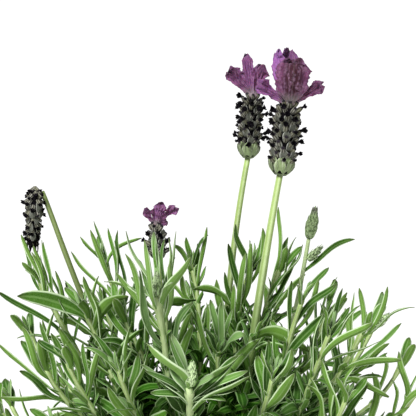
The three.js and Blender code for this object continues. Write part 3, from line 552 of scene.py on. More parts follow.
# tone: red how light a crumb is
soilLook = dict(
    shader=dict(Roughness=0.95, Specular_IOR_Level=0.1), grain=(700.0, 1.0, 0.0012),
    colours=dict(ground=(0.018, 0.012, 0.008), light=(0.085, 0.055, 0.035), fibre=(0.2, 0.14, 0.08)),
    masks=dict(light=("tone", 0), crumbs=("mottle", 500.0, 6.0), fibres=("mottle", 1400.0, 1.0, 0.8, 1.0)),
    coats=[("light", 1, "crumbs"), ("light", 0.4, "light"), ("fibre", 0.5, "fibres")],
)

potLook = dict(
    shader=dict(Roughness=0.85, Specular_IOR_Level=0.2), grain=(900.0, 0.35, 0.0005),
    relief=("turning", 0.15, 0.0003),
    colours=dict(
        ground=(0.47, 0.17, 0.075), pale=(0.62, 0.31, 0.17), dark=(0.33, 0.105, 0.045), bloom=(0.66, 0.5, 0.4),
    ),
    masks=dict(
        broad=("mottle", 22.0, 4.0), fine=("mottle", 260.0, 5.0), low=("height", 0.05, 0.0),
        turning=("turning", 2600.0),
    ),
    coats=[("pale", 1, "broad"), ("dark", 0.35, "fine"), ("dark", 0.12, "turning"),
           ("bloom", 0.45, "low", "broad")],
)

materials = dict(
    leaf=newMaterial("lavenderLeaf", leafLook), stem=newMaterial("greenStem", stemLook),
    wool=newMaterial("woollyCalyx", woolLook), floret=newMaterial("darkFloret", floretLook),
    cup=newMaterial("greenCup", scaleLook((0.2, 0.28, 0.11), (0.55, 0.62, 0.42), 0.1, 0.25)),
    fan=newMaterial("duskyScale", scaleLook((0.045, 0.05, 0.035), (0.46, 0.47, 0.42), 0.3, 0.1)),
    bud=newMaterial("budScale", budLook), bract=newMaterial("violetBract", bractLook),
    bark=newMaterial("bark", barkLook), soil=newMaterial("pottingMix", soilLook),
    pot=newMaterial("terracotta", potLook),
)
print("materials: ready")

# The plant. A branch ends at end, and its stems start from its end and from places back along it.
# Apex, bends, end of a stalk, tips, screen and arching are as seen in the photograph's plane.
# A leafy shoot has its apex (x, depth, z); a flower's stalk has its bends, end, radii and colour.
# pairs: leaf pairs. tips: leaves with set tips, [x, z, width, depth].
# screen: young leaves before the tip, [x, z, width], from start on the stem, behind mm back, rising by rise.
# arching: leaves that arch out, [x, z, width, start, behind]. youth, wider: how young and wide its leaves are.
# kept: the share kept of the added leaves. rosette: count, shortest and longest leaf at the tip.
branches = [
    dict(end=[-27, -3, 146], stems=dict(
        leafy_shoot_left=dict(apex=[-73, -8, 227.5], pairs=2, wider=0.75, tips=[
            [-80.8, 247.2], [-81.7, 243.7, 2.2], [-77, 239], [-74.8, 242.8, 2.4], [-72.7, 237.6, 3],
            [-71.8, 245], [-69.7, 243.7], [-65.8, 231.5], [-91, 223, 3, -6]]),
        leafy_shoot_left_low=dict(apex=[-71, -22, 188.5], pairs=1, wider=0.9, kept=0.6, tips=[
            [-82, 206.2], [-75.3, 204, 4], [-67.5, 213.2, 2], [-72.2, 208.8], [-91, 200.5, 2.6],
            [-82, 186.5, 4, -8], [-91, 176, 2.4, -6]]),
        leafy_shoot_left_skirt=dict(apex=[-90, 12, 168], pairs=3, wider=0.85, kept=0.5),
    )),
    dict(end=[-21, 11, 150], stems=dict(
        leafy_shoot_left_tall=dict(apex=[-45.2, 15, 235.5], pairs=2, wider=0.8, kept=0.8, tips=[
            [-50.7, 249.4], [-49, 253.3], [-42.6, 250.3], [-40.4, 244.6, 2.4], [-37.8, 249],
            [-28.8, 246.8, 2.4], [-59.3, 239.8, 2.6]]),
        flower_3_stalk=dict(
            bends=[[-52, 6, 200], [-68, 11, 262]], end=[-72.2, 9.8, 267.8], radii=[1.3, 0.95], olive=0.8,
            upTo=0.94),
        leafy_shoot_left_back=dict(apex=[-78, 38, 205], pairs=3, wider=0.85, kept=0.4),
    )),
    dict(end=[-25, -19, 141], stems=dict(
        leafy_shoot_front_left=dict(apex=[-61, -42, 190.5], pairs=2, wider=0.9, kept=0.8, tips=[
            [-63.6, 207, 4.2], [-68.8, 203.6], [-60.6, 198.3], [-53.3, 199.6, 2], [-45.6, 198.8, 2.6]]),
        leafy_shoot_left_broad=dict(
            apex=[-53.3, -16, 213.5], pairs=2, arching=[[-34.4, 220.2, 5.4, 0.9, 0]], tips=[
                [-61.5, 226.3, 4], [-53.3, 229.3], [-64.5, 219.7, 2], [-51.2, 222.3], [-47.3, 229.3, 2.2],
                [-82.6, 220, 6.5, -10]]),
        leafy_shoot_front_left_skirt=dict(apex=[-66, -56, 160], pairs=4),
    )),
    dict(end=[-11, -23, 144], stems=dict(
        leafy_shoot_centre=dict(
            apex=[-22.6, -45, 220], pairs=1, youth=0.9, wider=0.95, rosette=(5, 7, 12), pale=0.65,
            stemWidth=1.1, tips=[
                [-22.4, 248.5, 3], [-27.5, 245], [-16.8, 245.9], [-13.8, 248.5], [-36.6, 239], [-38.7, 231.5],
                [-30.5, 231, 4], [-35.3, 249, 2.6], [-15.1, 235], [-9, 238, 4], [-5.6, 212.7, 3.2],
                [-5.6, 207, 3.2], [-44.7, 226.7, 4.2], [-6.5, 217, 3.4]],
            screen=dict(start=0.9, behind=4, rise=0.1, tips=[
                [-27.4, 243, 1.5], [-17, 245.4, 1.6], [-22.4, 248, 1.5], [-31.4, 236, 1.8],
                [-13.4, 237, 1.8]])),
        leafy_shoot_front=dict(
            apex=[-8.2, -66, 179.6], pairs=2, youth=0.75, wider=1.65, rosette=(3, 6, 9), pale=0.9,
            stemWidth=1.3, tips=[
                [-26.2, 199.6, 3.8], [-29.7, 189.6, 3], [-15.5, 203.6, 2.6], [15.1, 194.8, 4],
                [18.5, 184.8, 3.6], [-22, 182, 4]],
            screen=dict(start=0.9, behind=0, rise=0.02, tips=[
                [13.6, 193, 3.4], [17, 188, 3], [12.4, 179, 3.2], [8, 174, 3], [-27, 188, 3], [-25, 178, 3],
                [-16, 203, 2.2]])),
        leafy_shoot_front_inner=dict(
            apex=[-39, -57, 187.5], pairs=3, youth=0.3, wider=1.15, rosette=(5, 6, 13), tips=[
                [-49, 204, 3], [-43.4, 180, 2.6], [-34, 207, 3], [-26, 196, 3.4]]),
        leafy_shoot_front_skirt=dict(apex=[-24, -84, 148], pairs=4),
    )),
    dict(end=[-6, 5, 152], stems=dict(
        flower_4_stalk=dict(
            bends=[[-17, 2, 200], [-21, -4, 218]], end=[-21.6, -4, 236.6], radii=[1.4, 1.1], pale=0.2,
            arching=[[-5.2, 218.8, 5.6, 0.62, 0]]),
        leafy_shoot_middle=dict(apex=[-7.3, 10, 234], pairs=2, wider=0.9, tips=[
            [-8.2, 246.3], [-6, 243.3, 2.2], [-9, 239.4], [-0.9, 250.7, 2.6], [-11.2, 231, 4],
            [6.5, 218, 4, -8]]),
        leafy_shoot_middle_left=dict(apex=[-37, -10, 212], pairs=3, arching=[[-47.7, 201.4, 3.6, 0.72, -12]],
                                     tips=[
            [-46, 224, 3.4], [-30, 229, 3.2], [-40, 231], [-27, 216, 3.2]]),
    )),
    dict(end=[12, -20, 145], stems=dict(
        flower_1_stalk=dict(
            bends=[[17, -30, 190], [26, -20, 247]], end=[30.8, -14, 273.2], radii=[1.9, 1.25], pale=0.1,
            arching=[[44, 196, 6.2, 0.4, -16]]),
        leafy_shoot_front_fan=dict(apex=[4.5, -34, 196], pairs=2, youth=0.5, wider=1.35, tips=[
            [-5.6, 214.5, 2.2], [-1.3, 218, 2.2], [2.6, 218.8, 2.2], [6, 217.5, 2.2], [10, 215, 2.2],
            [22.8, 201, 2.8, -8]]),
        leafy_shoot_front_right_inner=dict(
            apex=[28, -62, 184], pairs=3, youth=0.3, wider=1.15, rosette=(5, 6, 13), tips=[
                [35.3, 197, 3], [25.8, 201, 3], [18.5, 190, 4.4], [38, 186, 3], [21, 172, 3.4]]),
        leafy_shoot_front_right_skirt=dict(apex=[26, -84, 150], pairs=4),
    )),
    dict(end=[14, 2, 151], stems=dict(
        leafy_shoot_right_tall=dict(apex=[31.4, 4, 233], pairs=2, tips=[
            [34.4, 246.3], [38.3, 237.6], [34, 223, 4, -8], [31.4, 259.4, 2], [38.3, 246.3, 2.2],
            [40.6, 242.8, 4]]),
        leafy_shoot_middle_right=dict(apex=[18.9, -9, 233], pairs=2, arching=[[-6.9, 222.8, 4, 0.78, 0]], tips=[
            [12.9, 252.5, 3.4], [15.9, 239.4, 3], [8.6, 243.3], [19.8, 243.3], [23.7, 250.3, 2.4],
            [24.9, 248.5, 2.2], [10.8, 225.8], [7.7, 231, 2.6], [3.9, 227.6, 3.4]]),
        flower_2_stalk=dict(bends=[[4, 7, 192], [10.5, 4, 245]], end=[17, 5, 280.6], radii=[1.5, 1.1]),
    )),
    dict(end=[28, -5, 143], stems=dict(
        leafy_shoot_right=dict(apex=[67, -26, 205], pairs=2, wider=0.85, kept=0.5, tips=[
            [63.2, 222, 3], [77.8, 224.5, 2.6], [89, 215.3, 2.6], [79.6, 198.3], [83.9, 192.7],
            [79, 176, 4, -8]]),
        leafy_shoot_right_low=dict(apex=[92, -20, 180], pairs=3, youth=0.4, wider=0.85, kept=0.45, tips=[
            [96, 198], [84, 196, 3], [70, 186, 3], [101, 187], [88, 170, 3]]),
        leafy_shoot_right_bud=dict(apex=[71.4, 4, 206], pairs=3, youth=0.4, wider=0.85, kept=0.5, tips=[
            [60, 215, 3], [84, 208, 3], [66, 224, 2.4]]),
    )),
    dict(end=[25, -21, 141], stems=dict(
        leafy_shoot_front_right=dict(apex=[52.5, -50, 203.5], pairs=2, tips=[
            [65.8, 215.8], [70, 209.7], [53.8, 215.8], [58.9, 223.6, 2], [74.8, 200.5, 2.6],
            [49.9, 212.3, 2.4]]),
        leafy_shoot_front_right_low=dict(
            apex=[60, -64, 174], pairs=3, wider=0.9, kept=0.8, tips=[
                [64.5, 190, 3], [50, 192, 3.4], [70, 180, 3], [44, 184, 3]],
            arching=[[54.6, 181.7, 6, 0.7, 0], [41.7, 181.7, 5.4, 0.7, 0]]),
        leafy_shoot_right_broad=dict(apex=[40.9, -38, 218.8], pairs=2, tips=[
            [49, 227.6, 2.4], [54.6, 226.7], [50.3, 212.7, 4], [42.6, 194.8, 5.5, -8], [36, 227, 3]]),
        leafy_shoot_right_skirt=dict(apex=[74, -50, 156], pairs=4, wider=0.9, kept=0.6),
    )),
    dict(end=[22, 14, 147], stems=dict(
        leafy_shoot_right_back=dict(apex=[52, 20, 213], pairs=3, wider=0.9, kept=0.6, tips=[
            [48, 226], [60, 222, 3], [56, 229, 2.4], [68, 214, 3]]),
        flower_5_stalk=dict(
            bends=[[36, 18, 195], [39.5, 21, 222]], end=[43.4, 22, 245.4], radii=[1.2, 0.8], pale=0.9,
            tips=[[63.4, 245, 2.6, -3]]),
        leafy_shoot_right_back_low=dict(apex=[84, 30, 190], pairs=3, wider=0.8, kept=0.3),
    )),
    dict(end=[11, 25, 144], stems=dict(
        leafy_shoot_back_right=dict(apex=[30, 48, 218], pairs=4),
        leafy_shoot_back_right_low=dict(apex=[56, 66, 186], pairs=4, wider=0.9, kept=0.5),
        leafy_shoot_back_right_skirt=dict(apex=[26, 84, 178], pairs=3),
    )),
    dict(end=[-9, 26, 144], stems=dict(
        leafy_shoot_back=dict(apex=[-8, 52, 220], pairs=4),
        leafy_shoot_back_low=dict(apex=[-4, 82, 192], pairs=4),
        leafy_shoot_back_skirt=dict(apex=[-30, 84, 180], pairs=3),
    )),
    dict(end=[-23, 21, 142], stems=dict(
        leafy_shoot_back_left=dict(apex=[-44, 46, 214], pairs=4),
        leafy_shoot_back_left_low=dict(apex=[-62, 66, 182], pairs=4),
        leafy_shoot_back_left_skirt=dict(apex=[-86, 40, 172], pairs=3, kept=0.7),
    )),
]
usualStem = dict(youth=0.15, wider=1.0, kept=1.0, pairs=0, upTo=1.0, tips=[], arching=[],
                 screen=dict(start=0, behind=0, rise=0, tips=[]))
usualShoot = dict(usualStem, slot="leaves", rosette=(4, 6, 13), leafyUpTo=0.95, pale=0.1, olive=0.1,
                  radii=(1.35, 1.0), stemWidth=0.85, sides=10, spans=26, swelling=0.2)
usualStalk = dict(usualStem, slot="stalks", rosette=(0, 6, 13), leafyUpTo=0.42, pale=0, olive=0, stemWidth=1,
                  sides=12, spans=28, swelling=0.1, nodes=[0.35, 0.62])

# Branches and stem curves, as in the solids
wood = dict(height=124, lowRadius=3, highRadius=2.1, spread=3, sag=4)
stemPlaces = [1, 0.8, 0.62, 0.46]
shootCourse = dict(lean=0.45, handle=0.35, towardsTip=0.7, sideStart=0.8)


def woodCurve(branch):
    end = np.array(branch["end"], float)
    foot = unit(np.array([end[0], end[1], 0.0])) * wood["spread"]
    foot[2] = wood["height"] - 2 * wood["lowRadius"]
    sag = np.array([0, 0, -wood["sag"]])
    return np.array([foot, mix(foot, end, 1 / 3) + sag, mix(foot, end, 2 / 3) + sag, end])


def stemStart(limb, share, towards):
    start, tangent = placeOn(limb, share)
    facing = squareTo(towards - start, tangent)
    return start + facing * (wood["highRadius"] * shootCourse["sideStart"] if share < 1 else 0)


def shootCurve(limb, share, apexSeen):
    apex = seen(apexSeen)
    start = stemStart(limb, share, apex)
    handle = np.linalg.norm(apex - start) * shootCourse["handle"]
    outward = unit(np.array([apex[0], apex[1], 0.0]))
    leaving = unit(mix(cubicTangent(limb, share), unit(apex - start), shootCourse["towardsTip"]))
    arriving = unit(np.array([0, 0, 1.0]) + outward * shootCourse["lean"])
    return np.array([start, start + leaving * handle, apex - arriving * handle, apex])


def stalkCurve(limb, share, bends, end):
    first = seen(bends[0])
    return np.array([stemStart(limb, share, first), first, seen(bends[1]), seen(end)])


# Stems: a tube along a cubic curve, a little four-cornered, with a swelling at each node:
# radius (1 + corners cos 4u) (1 + swelling exp(-((t - node) / nodeLength)^2))
nodeLength = 0.018


def tube(curve, lowRadius, highRadius, around, spans, tone, nodes, corners=0.09, swelling=0.2, upTo=1.0):
    t = np.linspace(0, upTo, spans + 1)
    centre, tangent = placeOn(curve, t)
    chord = np.abs(curve[3] - curve[0])
    reference = np.array([1.0, 0, 0]) if chord[0] < chord[1] else np.array([0, 1.0, 0])
    side = unit(np.cross(tangent, reference))
    radius = mix(lowRadius, highRadius, t)
    for node in nodes:
        radius = radius * (1 + swelling * np.exp(-((t - node) / nodeLength) ** 2))
    radius = radius[:, None] * (1 + corners * np.cos(4 * evenAngles(around)))
    return shells(ringsRound(centre, side, np.cross(side, tangent), radius), tone, along=t)


# Blades: leaves and scales. The midline is a quadratic curve base, bend, tip. Sections are (x, depth): x runs
# from -1 to 1 over the upper face and back under it. The section is folded up along the midrib, hollow beside
# it, rolled under at its margins, and its waves lift one margin while they lower the other.
sections = dict(
    fine=[[-1, -0.8, -0.4, 0, 0.4, 0.8, 1, 0.8, 0.4, 0, -0.4, -0.8],
          [0.3, 0, 0.3, 0.6, 0.3, 0, 0.3, 0.75, 0.8, 1.3, 0.8, 0.75]],
    light=[[-1, -0.5, 0, 0.5, 1, 0.5, 0, -0.5], [0.1, 0.25, 0.5, 0.25, 0.1, 0.8, 1.2, 0.8]],
    small=[[-1, 0, 1, 0.5, 0, -0.5], [0.3, 0.1, 0.3, 0.7, 1, 0.7]],
)
# Outlines: the half width at shares of the length
bladeShapes = dict(
    leaf=[[0, 0.5], [0.1, 0.58], [0.3, 0.84], [0.5, 1], [0.72, 1], [0.85, 0.88], [0.94, 0.62], [1, 0.15]],
    broad=[[0, 0.28], [0.12, 0.46], [0.26, 0.8], [0.45, 1], [0.65, 1], [0.82, 0.8], [0.93, 0.47], [1, 0.06]],
    scale=[[0, 0.6], [0.3, 1], [0.6, 0.86], [0.85, 0.42], [1, 0.05]],
    fan=[[0, 0.4], [0.4, 0.85], [0.7, 1], [0.9, 0.72], [1, 0.25]],
)
bladeForm = dict(crowding=0.9, foldPower=1.4, waveLength=0.27, phaseShare=0.3, swayWaves=1.6, untwistedAt=0.35,
                 thinning=5, thinnest=0.25)


# A blade's upward normal and its side, from its own direction and the stem's axis and radial there
def bladeFrame(tangent, axis, radial):
    normal = squareTo(axis * dot(tangent, radial) - radial * dot(tangent, axis), tangent)
    return normal, np.cross(tangent, normal)


def blades(leaves, shape, section, rows, material):
    def column(key):
        return np.array([leaf.get(key, 0.0) for leaf in leaves], float).reshape(len(leaves), 1, -1)

    base, bend, tip, axis, width = (column(key) for key in ("base", "bend", "tip", "axis", "width"))
    x, depth = np.array(sections[section])
    along = np.linspace(0, 1, rows) ** bladeForm["crowding"]
    s = along[None, :, None]
    centre = (1 - s) ** 2 * base + 2 * s * (1 - s) * bend + s ** 2 * tip
    tangent = unit(2 * (1 - s) * (bend - base) + 2 * s * (tip - bend))
    normal, side = bladeFrame(tangent, axis, squareTo(tip - base, axis))
    normal = leant(normal, side, column("roll") + column("twist") * (s - bladeForm["untwistedAt"]))
    side = np.cross(tangent, normal)
    half = width / 2 * np.interp(along, *np.array(bladeShapes[shape]).T)[None, :, None]
    wave = np.cos(np.pi * s / bladeForm["waveLength"] + column("phase") * bladeForm["phaseShare"])
    lift = column("fold") * half * np.abs(x) ** bladeForm["foldPower"] + column("waved") * width * x * wave
    thinning = np.clip((1 - s) * bladeForm["thinning"], bladeForm["thinnest"], 1)
    lift = lift - column("thick") * thinning * depth + column("arched") * np.sin(2 * np.pi * s)
    sideways = x * half + column("sway") * np.sin(np.pi * bladeForm["swayWaves"] * s)
    rings = centre[:, :, None] + side[:, :, None] * sideways[..., None] + normal[:, :, None] * lift[..., None]
    upper = np.argmax(x) + 1
    across = np.concatenate([(x[:upper] + 1) / 4, (3 - x[upper:]) / 4])
    tone = np.concatenate([column(key)[:, 0] for key in ("tone", "youth", "shade")], axis=1)
    return shells(rings, tone, material, across, along)


# Leaves with set tips and leaf pairs, as in the solids. Each could take one of several forms, and the solid
# tells which: the tip of the form that was made is a corner of the node's mesh.
leafSize = dict(length=28, width=2.9, broad=3.9, leastLeaving=0.6, mostTwist=1.3, thickness=0.6)
setLeaf = dict(depth=8, loose=0.4, arch=(0.3, 0.42), leavingShare=0.75, looseShare=0.7,
               shifts=[0, -4, 4, -8, 8, -12, 12, -16, 16])
leafRoom = dict(lowest=0.2, step=0.04, places=20, spacing=3.2, mostTurn=1.1, turnCost=20, crowdingCost=4)
# Pairs go from the first value at the lowest pair to the second at the highest
pairLeaf = dict(place=(0.34, 0.97), length=(1.05, 0.62), leaving=(0.85, 0.6), spread=(1.15, 0.4), bendAt=0.4,
                placeLoose=0.02, turnLoose=0.35, shifts=[0, 0.4, -0.4, 0.8, -0.8])


def leafForm(place, base, axis, bend, tip, width, roll):
    return dict(place=place, base=base, axis=axis, bend=bend, tip=tip, width=width, roll=roll)


def solidCorners(node):
    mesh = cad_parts[node].data
    corners = np.empty(len(mesh.vertices) * 3)
    mesh.vertices.foreach_get("co", corners)
    return corners.reshape(-1, 3) / mm


def formMade(forms, corners):
    misses = [np.linalg.norm(corners - form["tip"], axis=1).min() for form in forms]
    best = int(np.argmin(misses))
    return forms[best], misses[best]


def leafPlace(curve, tip, taken):
    length = cubicLength(curve)
    places = leafRoom["lowest"] + leafRoom["step"] * np.arange(leafRoom["places"])
    costs = []
    for t, point, tangent in zip(places, *placeOn(curve, places)):
        reach = tip - point
        turn = max(0, angleBetween(reach, tangent) - leafRoom["mostTurn"])
        crowding = sum(max(0, leafRoom["spacing"] - abs(other - t) * length) for other in taken)
        costs.append(abs(np.linalg.norm(reach) - leafSize["length"]) + leafRoom["turnCost"] * turn
                     + leafRoom["crowdingCost"] * crowding)
    return float(places[int(np.argmin(costs))])


# The roll that turns a leaf's upper face to the viewer
def facingRoll(reach, axis):
    normal, side = bladeFrame(unit(reach), axis, squareTo(reach, axis))
    return math.atan(-viewer.dot(side) / viewer.dot(normal))


def tipForms(shoot, x, z, width=leafSize["width"], depth=None):
    draw = shoot["draw"]
    depth = shoot["depth"] + (astray(draw, setLeaf["depth"]) if depth is None else depth)
    loose, arch = astray(draw, setLeaf["loose"]), between(draw, *setLeaf["arch"])
    t = leafPlace(shoot["curve"], seen([x, depth, z]), shoot["taken"])
    shoot["taken"].append(t)
    base, axis = placeOn(shoot["curve"], t)
    forms = []
    for shift in setLeaf["shifts"]:
        tip = seen([x, depth + shift, z])
        reach = tip - base
        leaving = max(leafSize["leastLeaving"], angleBetween(reach, axis) * setLeaf["leavingShare"])
        bend = base + leant(axis, squareTo(reach, axis), leaving) * arch * np.linalg.norm(reach)
        roll = clamp(facingRoll(reach, axis), -leafSize["mostTwist"], leafSize["mostTwist"])
        forms.append(leafForm(t, base, axis, bend, tip, width, roll + loose * setLeaf["looseShare"]))
    return forms


# A leaf that leaves the stem at one angle and bends to another on its way
def bentBlade(base, axis, radial, length, leaving, spread, bendAt, drift=0.0):
    bend = base + leant(axis, radial, leaving) * length * bendAt
    return bend, bend + (leant(axis, radial, spread) + np.cross(axis, radial) * drift) * length * (1 - bendAt)


def pairForms(curve, rank, pairs, half, draw):
    height = 1 - rank / pairs
    t = mix(*pairLeaf["place"], height) + astray(draw, pairLeaf["placeLoose"])
    length = leafSize["length"] * mix(*pairLeaf["length"], height) * between(draw, 0.85, 1.15)
    leaving = mix(*pairLeaf["leaving"], height) * between(draw, 0.9, 1.15)
    spread = mix(*pairLeaf["spread"], height) * between(draw, 0.85, 1.15)
    width = leafSize["width"] * between(draw, 0.85, 1.35)
    turn = (rank / 2 + half) * math.pi + astray(draw, pairLeaf["turnLoose"])
    spread, roll = spread + between(draw, -0.15, 0.45), astray(draw, 0.4)
    base, axis = placeOn(curve, t)
    side, rise = crossAxes(axis)
    forms = []
    for shift in pairLeaf["shifts"]:
        bend, tip = bentBlade(base, axis, leant(side, rise, turn + shift), length, leaving, spread,
                              pairLeaf["bendAt"])
        forms.append(leafForm(t, base, axis, bend, tip, width, roll))
    return forms


# How far out a place lies: 1 on a dome over the pot, about which the shoots' tips stand
dome = dict(radius=92, foot=125, height=118, shadeFrom=0.98, shadeDepth=0.45)


def outAt(place):
    return math.hypot(math.hypot(place[0], place[1]) / dome["radius"],
                      max(0, place[2] - dome["foot"]) / dome["height"])


# How deep in the bush: 0 at its surface and 1 at its heart. It sets each leaf's painted shade.
def buriedAt(place):
    return clamp((dome["shadeFrom"] - outAt(place)) / dome["shadeDepth"])


# What the fine model adds to each leaf: its fold, waves, twist, tone and painted shade. Leaves low on the bush
# are wider.
dressing = dict(fold=(0.02, 0.4), waved=0.03, sway=0.06, arched=0.05, youth=0.15, shade=0.12, bend=(0.04, 0.24),
                lowFrom=250, lowOver=60, lowWider=1.35)
broadDressing = dict(waved=0.1, tone=0.45, wider=1.08)


def dressed(form, draw, youth=0.0, wider=1.0, twisting=0.8):
    isBroad = form["width"] >= leafSize["broad"]
    length = np.linalg.norm(form["tip"] - form["base"])
    low = clamp((dressing["lowFrom"] - form["tip"][2]) / dressing["lowOver"])
    form.update(
        thick=leafSize["thickness"], fold=between(draw, *dressing["fold"]), twist=astray(draw, twisting),
        waved=broadDressing["waved"] if isBroad else dressing["waved"], phase=astray(draw, 1),
        sway=astray(draw, dressing["sway"]) * length, arched=astray(draw, dressing["arched"]) * length,
        tone=draw() * (broadDressing["tone"] if isBroad else 1),
        youth=clamp(youth + astray(draw, dressing["youth"])),
        shade=buriedAt(form["tip"]) + astray(draw, dressing["shade"]),
    )
    form["width"] *= wider * (broadDressing["wider"] if isBroad else mix(1.0, dressing["lowWider"], low))
    form["bend"] = form["bend"] + form["axis"] * length * between(draw, *dressing["bend"])
    return form


# Leaves that the solids leave out but the eye picks out: from a place on the stem to a set tip
def reachingLeaf(shoot, x, z, width, start, behind, rise, turning=0.0):
    base, axis = placeOn(shoot["curve"], start)
    tip = seen([x, shoot["depth"] + behind, z])
    bend = mix(base, tip, 0.3) + axis * np.linalg.norm(tip - base) * rise
    return leafForm(start, base, axis, bend, tip, width, turning * facingRoll(tip - base, axis))


# Finer growth that the solids leave out: more leaf pairs low on the stems, a tuft of small leaves
# in each leaf's axil, clasping leaves, and a rosette of woolly young leaves round each tip
growth = dict(
    nodeSpacing=4.4, lowest=0.06, overrun=0.05, placeLoose=0.015, turnLoose=0.5, rollLoose=0.6, driftLoose=0.5,
    mainShare=0.92, outerLoss=0.8, lossFrom=0.75, lossOver=0.3, claspShare=0.4, tuftShare=0.55, tuftTop=0.7,
    youthAtTop=0.4, margin=1.5, floor=118, bendAt=0.45,
)
mainLeaf = dict(length=(0.7, 1.1), longest=(30, 18), broadShare=0.4, broad=(4, 5.4), width=(2.2, 3.3),
                fullAt=20, leaving=(0.3, 0.75), spread=(0.85, 2.2))
youngLeaf = dict(length=(6, 12), leaving=(0.15, 0.4), spread=(0.3, 0.85), width=(1.5, 2.3), driftShare=0.4)
claspingLeaf = dict(length=(5, 9), leaving=(0.1, 0.25), spread=(0.25, 0.7), width=(1.8, 2.5), roll=0.4,
                    youth=0.25, turn=0.9, below=0.01)
tuftLeaf = dict(length=(10, 20), leaving=(0.25, 0.5), spread=(0.35, 0.9), width=(1.4, 2.3), roll=0.5,
                youth=0.45, turnLoose=0.3, turns=(-0.6, 0.6), above=0.01)
rosetteLeaf = dict(leaving=(0.1, 0.4), spread=(0.1, 0.6), width=(1.0, 1.6), roll=0.3, youth=0.7, driftLoose=0.2,
                   turn=2.4, place=0.985)
boxLow, boxHigh = (np.array(corner) / mm for corner in cadBox)


def sideLeaf(curve, t, length, leaving, spread, turn, width, roll, drift=0.0):
    base, axis = placeOn(curve, t)
    side, rise = crossAxes(axis)
    bend, tip = bentBlade(base, axis, leant(side, rise, turn), length, leaving, spread, growth["bendAt"], drift)
    inside = (tip > boxLow + growth["margin"]).all() and (tip < boxHigh - growth["margin"]).all()
    return leafForm(t, base, axis, bend, tip, width, roll) if inside and tip[2] > growth["floor"] else None


# A side leaf of one kind, its measures drawn between the kind's limits
def drawnLeaf(curve, t, turn, kind, draw):
    length, leaving, spread = (between(draw, *kind[key]) for key in ("length", "leaving", "spread"))
    turn = turn + (astray(draw, kind["turnLoose"]) if "turnLoose" in kind else 0)
    width, roll = between(draw, *kind["width"]), astray(draw, kind["roll"])
    drift = astray(draw, kind["driftLoose"]) if "driftLoose" in kind else 0
    return sideLeaf(curve, t, length, leaving, spread, turn, width, roll, drift)


# One of the pair at a node: a full leaf with its clasping leaf low on the stem, a young leaf near its tip
def nodeGrowth(shoot, look, t, turn, draw, mains, tufts):
    curve = shoot["curve"]
    isYoung = t > shoot["addedUpTo"]
    roll, drift = astray(draw, growth["rollLoose"]), astray(draw, growth["driftLoose"])
    if isYoung:
        length, leaving, spread, width = (
            between(draw, *youngLeaf[key]) for key in ("length", "leaving", "spread", "width"))
        drift *= youngLeaf["driftShare"]
    else:
        length = between(draw, *mainLeaf["length"]) * mix(*mainLeaf["longest"], t)
        isBroad = draw() < mainLeaf["broadShare"] * (1 - t)
        width = between(draw, *mainLeaf["broad" if isBroad else "width"]) * min(1, length / mainLeaf["fullAt"])
        leaving, spread = between(draw, *mainLeaf["leaving"]), between(draw, *mainLeaf["spread"])
    made = sideLeaf(curve, t, length, leaving, spread, turn, width, roll, drift)
    loss = 1
    if made:
        loss = growth["outerLoss"] * clamp((outAt(made["tip"]) - growth["lossFrom"]) / growth["lossOver"])
    if draw() < look["kept"] * (growth["mainShare"] - loss):
        (tufts if isYoung else mains).append(dressed(made, draw, growth["youthAtTop"] * t))
    if not isYoung and draw() < growth["claspShare"]:
        made = drawnLeaf(curve, t - claspingLeaf["below"], turn + claspingLeaf["turn"], claspingLeaf, draw)
        if made:
            tufts.append(dressed(made, draw, claspingLeaf["youth"]))
    for twin in tuftLeaf["turns"]:
        made = drawnLeaf(curve, t + tuftLeaf["above"], turn + twin, tuftLeaf, draw)
        if made and draw() < growth["tuftShare"] * look["kept"] * (1 - loss) and t < growth["tuftTop"]:
            tufts.append(dressed(made, draw, tuftLeaf["youth"]))


def addedGrowth(shoot, look, seed):
    draw = seededDraws(seed)
    curve = shoot["curve"]
    leafySpan = look["leafyUpTo"] + growth["overrun"] - growth["lowest"]
    count = int(cubicLength(curve) * leafySpan / growth["nodeSpacing"])
    mains, tufts = [], []
    for node in range(count):
        t = mix(growth["lowest"], look["leafyUpTo"], (node + 0.5) / count) + astray(draw, growth["placeLoose"])
        for half in range(2):
            turn = (node / 2 + half) * math.pi + astray(draw, growth["turnLoose"])
            nodeGrowth(shoot, look, t, turn, draw, mains, tufts)
    petals, shortest, longest = look["rosette"]
    for petal in range(petals):
        kind = dict(rosetteLeaf, length=(shortest, longest))
        made = drawnLeaf(curve, kind["place"], petal * kind["turn"], kind, draw)
        if made:
            tufts.append(dressed(made, draw, kind["youth"]))
    return mains, tufts


# Leafy shoots and stalks. manyTips: with that many leaves of set tip, the young leaves start lower on the stem.
leafing = dict(seedOwn=100, seedDressing=300, seedGrowth=500, mostMiss=0.1, youthFrom=0.4, twisting=0.4,
               screenYouth=0.35, manyTips=4, addedUpTo=(0.8, 0.55))
archingLeaf = dict(rise=0.15, turning=0.8, twisting=0.3, tone=0.35)


